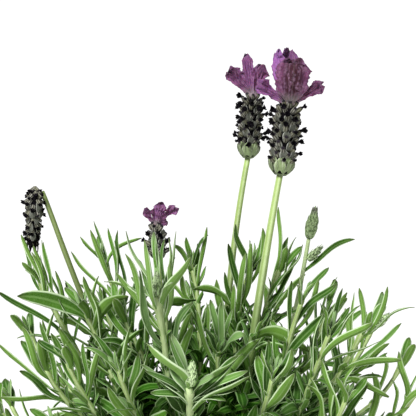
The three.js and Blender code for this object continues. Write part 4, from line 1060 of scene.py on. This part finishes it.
def addStem(index, limb, place, name, stem):
    isStalk = "bends" in stem
    look = {**(usualStalk if isStalk else usualShoot), **stem}
    if isStalk:
        curve = stalkCurve(limb, place, look["bends"], look["end"])
    else:
        curve = shootCurve(limb, place, look["apex"])
    draw, tints = seededDraws(leafing["seedOwn"] + index), seededDraws(leafing["seedDressing"] + index)
    shoot = dict(curve=curve, draw=draw, taken=[], depth=look["end" if isStalk else "apex"][1])
    corners = solidCorners(name)
    setLeaves = [formMade(tipForms(shoot, *tip), corners)[0] for tip in look["tips"]]
    pairLeaves = []
    for rank in range(look["pairs"]):
        for half in range(2):
            form, miss = formMade(pairForms(curve, rank, look["pairs"], half, draw), corners)
            if miss < leafing["mostMiss"]:
                pairLeaves.append(form)
    for form in setLeaves + pairLeaves:
        youth = look["youth"] * max(0, form["place"] - leafing["youthFrom"]) / (1 - leafing["youthFrom"])
        dressed(form, tints, youth, look["wider"], leafing["twisting"])
    screen, arching = [], []
    for tip in look["screen"]["tips"]:
        made = reachingLeaf(shoot, *tip, *(look["screen"][key] for key in ("start", "behind", "rise")))
        screen.append(dressed(made, tints, look["youth"] * leafing["screenYouth"]))
    for tip in look["arching"]:
        made = reachingLeaf(shoot, *tip, archingLeaf["rise"], archingLeaf["turning"])
        arching.append(dressed(made, tints, twisting=archingLeaf["twisting"]))
        arching[-1]["tone"] *= archingLeaf["tone"]
    shoot["addedUpTo"] = leafing["addedUpTo"][len(setLeaves) >= leafing["manyTips"]]
    mains, tufts = addedGrowth(shoot, look, leafing["seedGrowth"] + index)
    nodes = look.get("nodes") or sorted(form["place"] for form in setLeaves + pairLeaves)
    radii = [radius * look["stemWidth"] for radius in look["radii"]]
    parts = [tube(curve, *radii, look["sides"], look["spans"], [look["pale"], look["olive"], 0.5], nodes=nodes,
                  swelling=look["swelling"], upTo=look["upTo"])]
    reached = setLeaves + arching
    fine = [form for form in reached if form["width"] < leafSize["broad"]] + screen
    broad = [form for form in reached if form["width"] >= leafSize["broad"]]
    kinds = ((fine, "leaf", "fine", 13), (broad, "broad", "fine", 17), (pairLeaves, "leaf", "light", 11),
             (mains, "leaf", "light", 9), (tufts, "leaf", "small", 6))
    parts += [blades(leaves, shape, section, rows, 1) for leaves, shape, section, rows in kinds if leaves]
    addPiece(name + "_fine", parts, ["stem", "leaf"], look["slot"], [name])
    return sum(len(kind[0]) for kind in kinds)


stems = [(woodCurve(branch), *row) for branch in branches for row in zip(stemPlaces, branch["stems"].items())]
leafCount = sum(addStem(index, limb, place, *named) for index, (limb, place, named) in enumerate(stems))
print("stems:", len(stems), "with", leafCount, "leaves")

# Flower heads, from the solids' own rules: rings of woolly calyces, some drawn out or open as dark florets.
# taper: the radius at shares of the height. reach: how far the florets stand out of the calyces.
# shaded: how much of the wool's painted shade its calyces take at most
usualSpike = dict(open=0.2, calyxSize=1.0, moreFlorets=0.4, reach=0.9, floretSize=1.0, cup=True, tufts=0,
                  addedRings=[1.02], shaded=1.0, taper=[[0, 1], [1, 1]])
spikes = dict(
    flower_1=dict(base=[30.9, -14, 273.6], top=[34.6, -14, 303.4], radius=6.4, rings=5, perRing=6,
                  moreFlorets=0.35),
    flower_2=dict(base=[17.1, 5, 281], top=[19, 5, 306.6], radius=5.4, rings=5, perRing=5),
    flower_3=dict(
        base=[-74.3, 8, 267.6], top=[-75.6, 8, 243], radius=4.2, rings=4, perRing=5, calyxSize=1.25, reach=-0.3,
        floretSize=0.72, cup=False, tufts=4, addedRings=[-0.01, 0.04, 0.1], shaded=0.55,
        taper=[[0, 0.85], [0.15, 1.1], [0.4, 1.0], [0.7, 0.78], [1, 0.6]],
    ),
    flower_4=dict(
        base=[-21.6, -4, 237], top=[-22.2, -4, 251], radius=4.6, rings=2, perRing=5, open=0.35,
        calyxSize=1.3, reach=0.3, floretSize=0.7, shaded=0.5, taper=[[0, 1.2], [0.5, 1.15], [1, 0.8]],
    ),
)
calyxForm = dict(radius=1.15, length=4.3, ribs=6, ribDepth=0.09, around=12, rows=7)
floretForm = dict(tubeRadius=0.62, tube=[[-0.9, 0.7], [0, 0.8], [0.6, 1.5]], around=6, lobes=5, lobeLength=1.0,
                  lobeWidth=1.8, thickness=0.55)


def headOf(spec):
    base, top = seen(spec["base"]), seen(spec["top"])
    axis = unit(top - base)
    side, rise = crossAxes(axis)
    return dict(base=base, top=top, axis=axis, height=np.linalg.norm(top - base), side=side, rise=rise)


def outwardAt(head, angle):
    return leant(head["side"], head["rise"], angle)


# Where the solid's rule draws a calyx out, and where it opens a floret. Rows are share of the height,
# radius, and lift; the radius swells in the middle by 0.84 + 0.16 sin(pi share).
def spikeDraws(spec, seed):
    draw = seededDraws(seed)
    columns, rows = spec["perRing"] * 2, []
    for row in range(spec["rings"] * 2):
        share = 0.2 + 0.74 * row / (spec["rings"] * 2 - 1)
        rows.append([share, 0.84 * (0.84 + 0.16 * math.sin(math.pi * share)), 1.2])
    calyces = {}
    for row in range(len(rows)):
        for column in range(columns):
            out = between(draw, 1.15, 1.4) if draw() < 0.45 else 1
            if (row + column) % 2 == 0:
                calyces[row, column] = dict(out=out)
    for calyx in calyces.values():
        calyx["turn"] = astray(draw, 0.12)
        for unused in ("tilt", "length", "mouth"):  # of the solid's floret
            draw()
        calyx["open"] = draw() < spec["open"]
    return rows, columns, calyces


# Calyx: a ribbed egg-shaped tube along its aim,
# radius (0.35 + 0.65 sin(pi (0.08 + 0.8 v))) (1 + depth cos(ribs u))
def calyxRings(roots, aims, sizes):
    v = np.linspace(0, 1, calyxForm["rows"])[:, None]
    ribbed = 1 + calyxForm["ribDepth"] * np.cos(calyxForm["ribs"] * evenAngles(calyxForm["around"]))
    sizes = sizes[:, None, None]
    radius = (0.35 + 0.65 * np.sin(np.pi * (0.08 + 0.8 * v))) * ribbed * calyxForm["radius"] * sizes
    side, aims = unit(np.cross(aims, [0.3, 0.2, 1.0]))[:, None], aims[:, None]
    return ringsRound(roots[:, None] + aims * (v * calyxForm["length"] * sizes), side, np.cross(side, aims),
                      radius)


# Floret: a narrow flaring tube, and rounded lobes spread round its mouth
def floretParts(mouths, aims, sizes, draw, material):
    far, radius = np.array(floretForm["tube"]).T[:, None, :, None] * sizes[None, :, None, None]
    side = unit(np.cross(aims, [0.25, 0.1, 1.0]))
    rise = np.cross(side, aims)
    radius = np.tile(radius * floretForm["tubeRadius"], floretForm["around"])
    tubes = ringsRound(mouths[:, None] + aims[:, None] * far, side[:, None], rise[:, None], radius)
    tone = [[draw(), 0, 0] for _ in sizes]
    lobes = []
    for mouth, aim, across, upward, size in zip(mouths, aims, side, rise, sizes):
        turn, opened = between(draw, 0, 6.28), between(draw, 0.35, 1.1)
        for lobe in range(floretForm["lobes"]):
            radial = leant(across, upward, turn + lobe / floretForm["lobes"] * fullTurn + astray(draw, 0.2))
            reach = floretForm["lobeLength"] * size * between(draw, 0.8, 1.3)
            base = mouth + aim * 0.2 * size
            bend = base + leant(aim, radial, 0.4) * reach * 0.5
            tip = bend + leant(aim, radial, opened) * reach
            lobes.append(dict(base=base, bend=bend, tip=tip, axis=aim, width=floretForm["lobeWidth"] * size,
                              twist=astray(draw, 0.5), thick=floretForm["thickness"],
                              fold=between(draw, -0.2, 0.6), tone=draw(), shade=draw()))
    return [shells(tubes, tone, material, along=np.array([0, 0.6, 1.0])),
            blades(lobes, "scale", "small", 4, material)]


# Scales that hug a head: rows of (share of the height, body radius, length, width, count, leaving angle, turn)
def scaleCoat(head, rows, draw, material, shape="scale", thick=0.35, fold=-0.5, youth=0.5):
    scales = []
    for share, radius, length, width, count, leaving, turn in rows:
        for index in range(count):
            radial = outwardAt(head, turn + index / count * fullTurn + astray(draw, 0.12))
            reach = length * between(draw, 0.88, 1.12)
            foot = head["base"] + head["axis"] * share * head["height"] + radial * radius * 0.55
            bend = foot + leant(head["axis"], radial, leaving) * reach * 0.5
            tip = bend + (head["axis"] + radial * math.sin(leaving) * 0.15) * reach * 0.5
            scales.append(dict(base=foot, bend=bend, tip=tip, axis=head["axis"], shade=share, youth=youth,
                               width=width * between(draw, 0.9, 1.1), twist=astray(draw, 0.2), thick=thick,
                               fold=fold, tone=draw()))
    return blades(scales, shape, "light", 6, material)


# Body under the calyces: circles round the head's axis, radii from [share of the height, radius] pairs
def headBody(head, base, profile, around, tone, material=0):
    share, radius = np.array(profile).T
    centre = base + head["axis"] * (share * head["height"])[:, None]
    rings = ringsRound(centre, head["side"], head["rise"], np.tile(radius[:, None], around))
    return shells(rings, tone, material, along=share)


spikeCore = [[-0.005, 0.1], [0.03, 0.5], [0.12, 0.62], [0.3, 0.62], [0.8, 0.56], [0.97, 0.36], [1.02, 0.05]]
# Rows of a cup's scales, as in scaleCoat, with lengths in heights and radii and widths in radii of the spike
cupRows = [(0.0, 0.5, 0.27, 0.95, 6, 0.62, 0.2), (0.05, 0.75, 0.22, 0.85, 5, 0.42, 0.75),
           (0.1, 0.95, 0.17, 0.6, 6, 0.3, 0.1)]


def spikeParts(spec, seed):
    head = headOf(spec)
    axis, height, wide = head["axis"], head["height"], spec["radius"]
    rows, columns, calyces = spikeDraws(spec, seed)
    draw = seededDraws(seed + 500)
    taper = np.array(spec["taper"]).T
    core = [[share, radius * wide * np.interp(share, *taper)] for share, radius in spikeCore]
    # The body under the calyces takes the near-black floret material: painted shade in the gaps between them
    parts = [headBody(head, head["base"], core, 20, [0.5, 0, 0], 3)]
    for share in spec["addedRings"]:
        rows.append([share, 0.5 if share > 0.9 else 0.5 + 3.6 * share, 1.2])
        for column in range(columns // 2):
            opened = draw() < 0.35
            place = len(rows) - 1, column * 2 + (len(rows) + 1) % 2
            calyces[place] = dict(out=1, open=opened, turn=astray(draw, 0.3))
    placed, mouths = [], []
    for (row, column), calyx in calyces.items():
        share, peak, lift = rows[row]
        radial = outwardAt(head, column / columns * fullTurn + calyx["turn"])
        tilt = 0.75 + 0.35 * (share - 0.5) + astray(draw, 0.15)
        aim = leant(radial, axis, tilt)
        size = between(draw, 0.88, 1.08) * wide / 6.4 * spec["calyxSize"]
        length = calyxForm["length"] * size
        stretch = peak * np.interp(share, *taper) * wide * min(calyx["out"], 1.12)
        root = head["base"] + axis * (share * height + lift) + radial * stretch - aim * length * 0.86
        placed.append((root, aim, size))
        isOpen = calyx["open"] or calyx["out"] > 1 or draw() < spec["moreFlorets"]
        if isOpen and share <= 0.96:
            floretAim = leant(radial, axis, between(draw, -0.2, 0.55))
            floretAim = unit(floretAim + np.cross(axis, radial) * astray(draw, 0.35))
            mouth = root + aim * length * 0.96 + floretAim * between(draw, 0.1, spec["reach"])
            mouths.append((mouth, floretAim, between(draw, 0.6, 1.5) * spec["floretSize"]))
    tone = [[draw() * spec["shaded"], draw(), draw()] for _ in placed]
    parts.append(shells(calyxRings(*(np.array(values) for values in zip(*placed))), tone))
    if spec["cup"]:
        cup = [(share, radius * wide, length * height, width * wide, *rest)
               for share, radius, length, width, *rest in cupRows]
        parts.append(scaleCoat(head, cup, draw, 1, shape="fan", fold=-0.35, youth=0.3))
    fans = []
    for index, share in enumerate(np.arange(0.22, 0.86, 0.13)):
        radius = 0.95 * wide * np.interp(share, *taper)
        fans.append((share, radius, 0.17 * height, 0.62 * wide, spec["perRing"], 0.5, index * 0.5))
    parts.append(scaleCoat(head, fans, draw, 2, shape="fan", thick=0.3, fold=-0.3, youth=0.2))
    if spec["tufts"]:
        ragged = []
        for share in (0.66, 0.76, 0.84, 0.92):
            radius = wide * np.interp(share, *taper)
            ragged.append((share, radius, 0.24 * height, 0.5 * wide, spec["tufts"], 0.2, share * 9))
        parts.append(scaleCoat(head, ragged, draw, 3, thick=0.5, fold=-0.4))
    return parts + floretParts(*(np.array(values) for values in zip(*mouths)), draw, 3)


for index, (name, spec) in enumerate(spikes.items()):
    parts = spikeParts({**usualSpike, **spec}, 20 + index)
    addPiece(name + "_spike_fine", parts, ["wool", "cup", "fan", "floret"], "calyces", [name + "_spike"])

# Crown bracts: blades on the solids' own frame. Each is cupped, its margins ruffled by waves that grow towards
# edge and tip, its surface crumpled by crossing waves, and its top cut into uneven lobes.
# tone and dusk: how bright, and how dusky in the middle. torn, fork and round: its top. bow and curl: its bend.
usualBract = dict(outline="clawed", tone=0.5, dusk=0.4, ruffle=0.1, torn=1.0, fork=0.03, round=0.2, curl=0.0,
                  bow=0.0)
crowns = dict(
    flower_1=[
        dict(tip=[37, -21, 324.6], width=14.6, bulge=-2.6, facing=[0.1, -1, 0.2], outline="broad", tone=0.12,
             dusk=1, ruffle=0.05, fork=0.04, round=0.14),
        dict(tip=[29.4, -11, 328.4], width=8, bulge=-1, facing=[-0.4, -1, 0], outline="broad", tone=1,
             dusk=0, ruffle=0.06),
        dict(tip=[34.5, -7, 329.4], width=10, bulge=1, facing=[0.1, -1, 0], outline="broad", tone=0.6),
        dict(tip=[19.4, -17, 314], width=7, bulge=0.8, facing=[-0.3, -0.8, 0.6], dusk=0.2, ruffle=0.16,
             fork=0.3, curl=1.2),
        dict(tip=[50.8, -13, 314], width=6, bulge=-1, facing=[0.3, -0.8, 0.6], tone=0.2, dusk=0.5,
             ruffle=0.2, fork=0.3, curl=-1),
        dict(tip=[40, 0, 323], width=8, bulge=1, facing=[0, 1, 0.2], outline="broad"),
    ],
    flower_2=[
        dict(tip=[8, 1, 320.8], width=8.2, bulge=1.2, facing=[-0.4, -1, 0.3], outline="slender", tone=0.3,
             dusk=0.3, ruffle=0.12, fork=0.25, bow=-0.4),
        dict(tip=[16.2, 5, 326.2], width=4.6, bulge=0.8, facing=[0, -1, 0], outline="finger", tone=0.4,
             dusk=0.1, ruffle=0.06, torn=0.3, round=0.1),
        dict(tip=[23.2, 6, 321.8], width=8, bulge=1, facing=[0.3, -1, 0.2], outline="paddle", tone=0.25,
             dusk=0.3, torn=0.4, round=0.3),
        dict(tip=[14, 11, 319], width=8, bulge=1, facing=[0, 1, 0.3]),
    ],
    flower_4=[
        dict(tip=[-27.2, -6, 259.4], width=3.9, bulge=1, facing=[-0.5, -1, 0.2], outline="spoon", tone=0.25,
             dusk=0.3, bow=-0.7),
        dict(tip=[-22.4, -4.5, 259.6], width=5, bulge=0.6, facing=[-0.1, -1, 0], outline="spoon", tone=0.2,
             ruffle=0.16),
        dict(tip=[-20, -4, 262], width=5.4, bulge=-0.8, facing=[0.1, -1, 0], outline="spoon", tone=0.35,
             dusk=0.3, ruffle=0.16, torn=0.5),
        dict(tip=[-12.6, -5, 259.8], width=4.8, bulge=0.8, facing=[0.4, -1, 0.3], outline="slender",
             tone=0.3, ruffle=0.2, fork=0.2, bow=-0.8),
        dict(tip=[-17.6, -6.5, 253.6], width=4.4, bulge=0.6, facing=[0.3, -1, 0.2], tone=0.2, dusk=0.5,
             ruffle=0.16),
        dict(tip=[-20, 1, 258], width=5, bulge=0.8, facing=[0, 1, 0.2], tone=0.1, dusk=0.6),
    ],
)
bractWidths = dict(
    broad=[[0, 0.26], [0.06, 0.38], [0.16, 0.68], [0.3, 0.88], [0.5, 1], [0.72, 1], [0.86, 0.94],
           [0.95, 0.84], [1, 0.7]],
    clawed=[[0, 0.4], [0.2, 0.46], [0.4, 0.6], [0.6, 0.8], [0.8, 1], [0.92, 0.96], [1, 0.7]],
    slender=[[0, 0.3], [0.2, 0.36], [0.45, 0.5], [0.65, 0.72], [0.82, 1], [0.92, 0.98], [1, 0.75]],
    finger=[[0, 0.5], [0.2, 0.6], [0.45, 0.85], [0.65, 1], [0.85, 1], [0.94, 0.88], [1, 0.6]],
    paddle=[[0, 0.3], [0.2, 0.34], [0.45, 0.46], [0.6, 0.75], [0.76, 1], [0.9, 0.98], [1, 0.75]],
    spoon=[[0, 0.45], [0.2, 0.5], [0.45, 0.7], [0.65, 0.92], [0.78, 1], [0.9, 0.97], [1, 0.75]],
)
# Waves are (height, and waves across, along and with the bract's own phase)
bractForm = dict(
    thickness=0.35, rows=46, columns=33, rootAt=0.55, forkAt=0.15, forkWidth=0.3, fullWidth=10,
    torn=[(0.05, 0, 13, 1), (0.04, 1, 29, 2.3), (0.035, 0, 61, 1)], ruffled=[(1, 2, 9, 1), (0.35, 0, 23, 2)],
    ragged=[(0.03, 5, 0, 2), (0.014, 13, 0, 1), (0.01, 27, 0, 3)], rolled=[(0.06, 5, 0, 2)],
)
button = dict(width=0.5, rise=1.4, rings=[[0.3, 0.8], [1.4, 1], [2.6, 0.6], [3.0, 0.1]], tone=[0.3, 0.9, 0.5])


# The sum of height sin(a u + b s + c phase)
def waves(rows, u, s, phase):
    return sum(height * np.sin(a * u + b * s + c * phase) for height, a, b, c in rows)


def bractPart(head, centre, radius, bract, phase):
    tip = seen(bract["tip"])
    facing = unit(np.array(bract["facing"], float))
    root = centre + squareTo(unit(tip - centre) + facing, head["axis"]) * radius * bractForm["rootAt"]
    length, width = np.linalg.norm(tip - root), bract["width"]
    tangent = unit(tip - root)
    normal = squareTo(facing, tangent)
    side = np.cross(tangent, normal)
    s = np.linspace(0, 1, bractForm["rows"])[:, None]
    u = np.linspace(-1, 1, bractForm["columns"])[None]
    out = np.abs(u)
    half = np.interp(s[:, 0], *np.array(bractWidths[bract["outline"]]).T)[:, None] * width / 2
    tear = out ** 4 * waves(bractForm["torn"], u, s, phase)
    across = u * half * (1 + tear) + bract["bow"] * np.sin(np.pi * s)
    cut = bract["fork"] * np.exp(-((u - bractForm["forkAt"] * math.sin(phase)) / bractForm["forkWidth"]) ** 2)
    ragged = (0.044 + waves(bractForm["ragged"], u, s, phase)) * min(1, width / bractForm["fullWidth"])
    cut = cut + ragged * bract["torn"] + bract["round"] * out ** 2.5
    along = s * length * (1 - s ** 3 * cut)
    lift = -bract["bulge"] * (1 - u * u) * np.sin(np.pi * np.minimum(s + 0.1, 1))
    ruffles = [waves([row], u, s, phase) for row in bractForm["ruffled"]]
    lift = lift + bract["ruffle"] * width * (0.35 + s) * (out ** 1.5 * ruffles[0] + out ** 2 * ruffles[1])
    lift = lift + bract["curl"] * s ** 3 + width * s ** 2 * waves(bractForm["rolled"], u, s, phase)
    crumpled = 0.4 * np.sin(7 * u + 11 * s + phase) * np.sin(5 * u - 9 * s)
    crumpled = crumpled + 0.2 * np.sin(13 * u + 3 * np.sin(7 * s + phase))
    lift = lift + crumpled * np.sin(np.pi * np.minimum(s * 1.1 + 0.05, 0.9))
    sheet = root + tangent * along[..., None] + side * across[..., None] + normal * lift[..., None]
    thick = normal * (bractForm["thickness"] / 2 * (1 - out ** 6) * np.ones_like(s))[..., None]
    rings = np.concatenate([sheet + thick, (sheet - thick)[:, -2:0:-1]], axis=1)
    acrossUv = np.concatenate([(u[0] + 1) / 4, (3 - u[0, -2:0:-1]) / 4])
    return shells(rings, [bract["tone"], bract["dusk"], phase / 6.28], across=acrossUv, along=s[:, 0])


def crownParts(spikeSpec, bracts, seed):
    draw = seededDraws(seed)
    head = headOf(spikeSpec)
    radius = button["width"] * spikeSpec["radius"]
    centre = head["top"] + head["axis"] * button["rise"]
    profile = [[rise / head["height"], share * radius] for rise, share in button["rings"]]
    parts = [headBody(head, head["top"], profile, 12, button["tone"])]
    for bract in bracts:
        parts.append(bractPart(head, centre, radius, {**usualBract, **bract}, between(draw, 0, 6.28)))
    return parts


for index, (name, bracts) in enumerate(crowns.items()):
    parts = crownParts(spikes[name], bracts, 40 + index)
    addPiece(name + "_crown_fine", parts, ["bract"], "bracts", [name + "_crown"])

# Buds: an egg of pointed scales, tight at the tip. scaleLength is a share of the height, scaleWidth of the
# radius, and outline gives the radius at shares of the height.
eggOutline = [[0, 0.55], [0.12, 0.95], [0.25, 1], [0.4, 0.8], [0.55, 0.5], [0.74, 0.4]]
coneOutline = [[0, 0.75], [0.15, 1], [0.3, 0.85], [0.5, 0.55], [0.74, 0.2]]
buds = dict(
    bud_5=dict(base=[43.6, 22, 245.8], top=[46.4, 22, 260.4], radius=3.2, rows=10, perRow=7, scaleLength=0.27,
               scaleWidth=0.62, youth=0.3, outline=eggOutline),
    bud_5_side=dict(base=[43.3, 21.6, 236.2], top=[49, 21.4, 242], radius=1.6, rows=5, perRow=6,
                    scaleLength=0.5, scaleWidth=0.8, youth=0.8, outline=coneOutline),
    bud_6=dict(base=[-22.5, -45.2, 220.9], top=[-22.2, -45, 231.4], radius=2.1, rows=9, perRow=6,
               scaleLength=0.32, scaleWidth=0.9, youth=1.1, outline=coneOutline),
    bud_7=dict(base=[-7.8, -66.2, 180.6], top=[-6.8, -66, 191], radius=3.1, rows=8, perRow=7, scaleLength=0.38,
               scaleWidth=0.72, youth=0.95, outline=coneOutline),
    bud_8=dict(base=[72, 4, 206.8], top=[78.4, 4, 212], radius=1.7, rows=5, perRow=6, scaleLength=0.5,
               scaleWidth=0.9, youth=1.0, outline=coneOutline),
)
budForm = dict(core=[[0, 0.3], [0.12, 0.72], [0.3, 0.82], [0.55, 0.6], [0.8, 0.3], [0.97, 0.04]], sides=14,
               topRow=0.74, leaving=(0.55, 0.02), turn=0.55)


def budParts(spec, seed):
    head, wide = headOf(spec), spec["radius"]
    core = [[share, radius * wide] for share, radius in budForm["core"]]
    rows = []
    for index in range(spec["rows"]):
        share = index / spec["rows"] * budForm["topRow"]
        radius = wide * np.interp(share, *np.array(spec["outline"]).T)
        leaving = mix(*budForm["leaving"], share / budForm["topRow"])
        rows.append((share, radius, head["height"] * spec["scaleLength"], wide * spec["scaleWidth"],
                     spec["perRow"], leaving, index * budForm["turn"]))
    return [headBody(head, head["base"], core, budForm["sides"], [0.5, spec["youth"], 0.5]),
            scaleCoat(head, rows, seededDraws(seed), 0, thick=0.3, fold=-0.25, youth=spec["youth"])]


for index, (name, spec) in enumerate(buds.items()):
    addPiece(name + "_fine", budParts(spec, 60 + index), ["bud"], "buds", [name])
print("flower heads and buds: ready")

# Woody crown: a root collar and the branches, all ribbed and knobbed
collarShape = dict(radius=6.5, foot=88, top=122, rows=9, sides=20,
                   outline=[[0, 0.7], [0.15, 0.95], [0.8, 1.0], [1, 0.75]])
branchShape = dict(sides=14, spans=18, corners=0.04, knobs=[(0.2, 0.45), (0.5, 0.7), (0.75, 0.95)])


# Collar: radius (1 + 0.05 sin(3u + 1) + 0.04 sin(5u + 6t))
def woodParts():
    t = np.linspace(0, 1, collarShape["rows"])
    radius = collarShape["radius"] * np.interp(t, *np.array(collarShape["outline"]).T)
    rings = turned(np.column_stack([radius, mix(collarShape["foot"], collarShape["top"], t)]),
                   collarShape["sides"])
    u = evenAngles(collarShape["sides"])
    rings[..., :2] *= (1 + 0.05 * np.sin(3 * u + 1) + 0.04 * np.sin(5 * u + 6 * t[:, None]))[..., None]
    parts = [shells(rings, [0.5, 0, 0])]
    draw = seededDraws(700)
    for branch in branches:
        knobs = [between(draw, *limits) for limits in branchShape["knobs"]]
        parts.append(tube(woodCurve(branch), wood["lowRadius"], wood["highRadius"], branchShape["sides"],
                          branchShape["spans"], [draw(), 0, 0], knobs, branchShape["corners"]))
    return parts


addPiece("woody_crown_fine", woodParts(), ["bark"], "bark", ["woody_crown"])

# Potting mix: a disc that dips and swells, with loose crumbs on it, in a pot whose inner wall leans outward
soilShape = dict(top=112, dome=2, domeRadius=60.5, bottom=6.3, inner=20, wallRows=[6.3, 40, 75, 100], edge=111,
                 rows=34, sides=120, hole=6.83, holeDepth=87.7, holeRim=100, gap=0.6, wallRadius=45.98,
                 wallFrom=6, wallLean=0.1472, axis=0.5, tone=[0.3, 0, 0])
crumbShape = dict(count=420, radius=(9, 57), size=(0.5, 1.5), rows=5, sides=6, sunk=0.25, uneven=0.3,
                  flattest=0.6)


# h = top + dome (1 - r^2) + lumps + crumbs, waves of falling length
def soilHeight(x, y):
    domed = soilShape["dome"] * (1 - np.clip((x * x + y * y) / soilShape["domeRadius"] ** 2, 0, 1))
    lumps = 1.5 * np.sin(0.23 * x + 1) * np.cos(0.27 * y) + 0.5 * np.sin(0.6 * (x + y))
    crumbly = 0.35 * np.sin(1.3 * x + 2 * np.sin(0.7 * y)) * np.cos(1.1 * y + 1.7 * np.sin(0.9 * x))
    return soilShape["top"] + domed + lumps + crumbly


def soilWall(height):
    return soilShape["wallRadius"] + soilShape["wallLean"] * (height - soilShape["wallFrom"]) - soilShape["gap"]


def soilParts():
    bottom, hole, axis = soilShape["bottom"], soilShape["hole"], soilShape["axis"]
    below = [(axis, bottom), (soilShape["inner"], bottom)] + [(soilWall(z), z) for z in soilShape["wallRows"]]
    surface = [(r, soilShape["top"]) for r in np.linspace(soilWall(soilShape["edge"]), hole, soilShape["rows"])]
    inHole = [(hole, soilShape["holeRim"]), (hole, soilShape["holeDepth"]), (axis, soilShape["holeDepth"])]
    rings = turned(below + surface + inHole, soilShape["sides"])
    raised = rings[len(below):-len(inHole)]
    raised[..., 2] = soilHeight(raised[..., 0], raised[..., 1])
    return [shells(rings, soilShape["tone"]), crumbs()]


# Crumbs: uneven balls, radius sin(pi v) (1 + uneven cos(2u + 1)) and height -cos(pi v)
def crumbs():
    draw = seededDraws(710)
    limits = [crumbShape["radius"], (0, 6.283), crumbShape["size"], (0, 1), (0, 1), (0, 1)]
    drawn = [[between(draw, *pair) for pair in limits] for _ in range(crumbShape["count"])]
    r, turn, size, skewed, flat, light = np.array(drawn).T[..., None, None]
    x, y = r * np.cos(turn), r * np.sin(turn)
    v = np.linspace(0.06, 0.94, crumbShape["rows"])[:, None]
    uneven = crumbShape["uneven"] * np.cos(2 * evenAngles(crumbShape["sides"]) + 1) * (skewed - 0.5)
    radius = size * np.sin(np.pi * v) * (1 + uneven)
    rise = -np.cos(np.pi * v) * size * mix(crumbShape["flattest"], 1, flat)
    z = soilHeight(x, y) + size * crumbShape["sunk"] + rise
    centre = np.concatenate([x + 0 * z, y + 0 * z, z], -1)
    rings = ringsRound(centre, np.array([1.0, 0, 0]), np.array([0, 1.0, 0]), radius)
    return shells(rings, np.hstack([light[:, 0], flat[:, 0], skewed[:, 0]]), along=v[:, 0])


addPiece("soil_fine", soilParts(), ["soil"], "potting_mix", ["soil"])

# Pot: turned clay, its profile smoothed at rim and foot, with four drain holes through its floor
potShape = dict(
    profile=[
        (0.5, 0), (30, 0), (46.6, 0), (47.6, 0.3), (49.0, 1.2), (50.2, 2.6), (52.6, 17), (57.5, 46),
        (62.2, 74.5), (66.4, 100.2), (67.2, 101.1), (68.6, 101.7), (69.1, 102.8), (69.5, 112),
        (69.75, 120.6), (69.5, 123.2), (68.4, 124.7), (67, 125), (65.6, 125), (64.4, 124.6),
        (63.7, 123.4), (62, 112.4), (57.4, 80), (51.6, 42), (46.9, 12.4), (46.0, 9.2), (44.2, 7.0),
        (41.5, 6.05), (30, 6), (0.5, 6),
    ],
    sides=96, drainRadius=4, drainRing=28, drainHoles=4, drainSides=32, drainHeights=(-3.0, 9.0),
)
potParts = [shells(turned(potShape["profile"], potShape["sides"]), [0.5, 0, 0])]
pot = addPiece("pot_fine", potParts, ["pot"], "terracotta", ["pot"])


def drainCutters():
    turn = (np.arange(potShape["drainHoles"]) + 0.5) / potShape["drainHoles"] * fullTurn
    centres = potShape["drainRing"] * np.column_stack([np.cos(turn), np.sin(turn), turn * 0])
    cutter = turned([(potShape["drainRadius"], z) for z in potShape["drainHeights"]], potShape["drainSides"])
    return shells(cutter + centres[:, None, None], np.zeros((len(centres), 3)))


def cutDrains():
    points, quads = drainCutters()[:2]
    mesh = bpy.data.meshes.new("drainCutters")
    mesh.from_pydata((points * mm).tolist(), [], quads.tolist())
    cutter = addObject("drainCutters", mesh)
    cut = pot.modifiers.new("drains", "BOOLEAN")
    cut.object, cut.operation, cut.solver = cutter, "DIFFERENCE", "EXACT"
    bpy.context.view_layer.update()
    made = bpy.data.meshes.new_from_object(pot.evaluated_get(bpy.context.evaluated_depsgraph_get()))
    pot.modifiers.clear()
    pot.data = made
    bpy.data.objects.remove(cutter, do_unlink=True)


cutDrains()
print("pot, potting mix and woody crown: ready")

# Floor and light: a pale floor, a white sky, a soft key from the upper left and a fill from the right
stageLook = dict(floorSize=16, sky=0.19, key=4.2, keySpread=0.36, keyTilt=42, keyTurn=-32, fill=2.2,
                 fillSize=1.5, fillPlace=(1.3, -0.9, 0.8), fillAim=(0, 0, 0.2))
floorLook = dict(
    shader=dict(Roughness=0.9, Specular_IOR_Level=0.1),
    colours=dict(ground=(0.96, 0.96, 0.96), dim=(0.94, 0.94, 0.94)),
    masks=dict(patches=("mottle", 3.0, 3.0)), coats=[("dim", 1, "patches")],
)


def addFloor():
    half = stageLook["floorSize"] / 2
    mesh = bpy.data.meshes.new("floor")
    mesh.from_pydata([(-half, -half, 0), (half, -half, 0), (half, half, 0), (-half, half, 0)], [],
                     [(0, 1, 2, 3)])
    floor = addObject("floor", mesh)
    mesh.materials.append(newMaterial("paleFloor", floorLook))


def addArea(name, power, size, place, aim):
    light = bpy.data.lights.new(name, "AREA")
    light.energy = power
    light.size = size
    holder = addObject(name, light)
    holder.location = place
    x, y, z = np.array(aim) - np.array(place)
    holder.rotation_euler = (math.atan2(math.hypot(x, y), -z), 0, math.atan2(y, x) - math.pi / 2)


def addLight():
    world = bpy.data.worlds.new("whiteSky")
    world.use_nodes = True
    world.node_tree.nodes["Background"].inputs[0].default_value = (1, 1, 1, 1)
    world.node_tree.nodes["Background"].inputs[1].default_value = stageLook["sky"]
    bpy.context.scene.world = world
    sun = bpy.data.lights.new("key", "SUN")
    sun.energy = stageLook["key"]
    sun.angle = stageLook["keySpread"]
    holder = addObject("key", sun)
    holder.rotation_euler = (math.radians(stageLook["keyTilt"]), 0, math.radians(stageLook["keyTurn"]))
    addArea("fill", *(stageLook[key] for key in ("fill", "fillSize", "fillPlace", "fillAim")))
    bpy.context.scene.view_settings.view_transform = "Standard"


addFloor()
addLight()
addCamera()
print("floor, light and camera: ready")
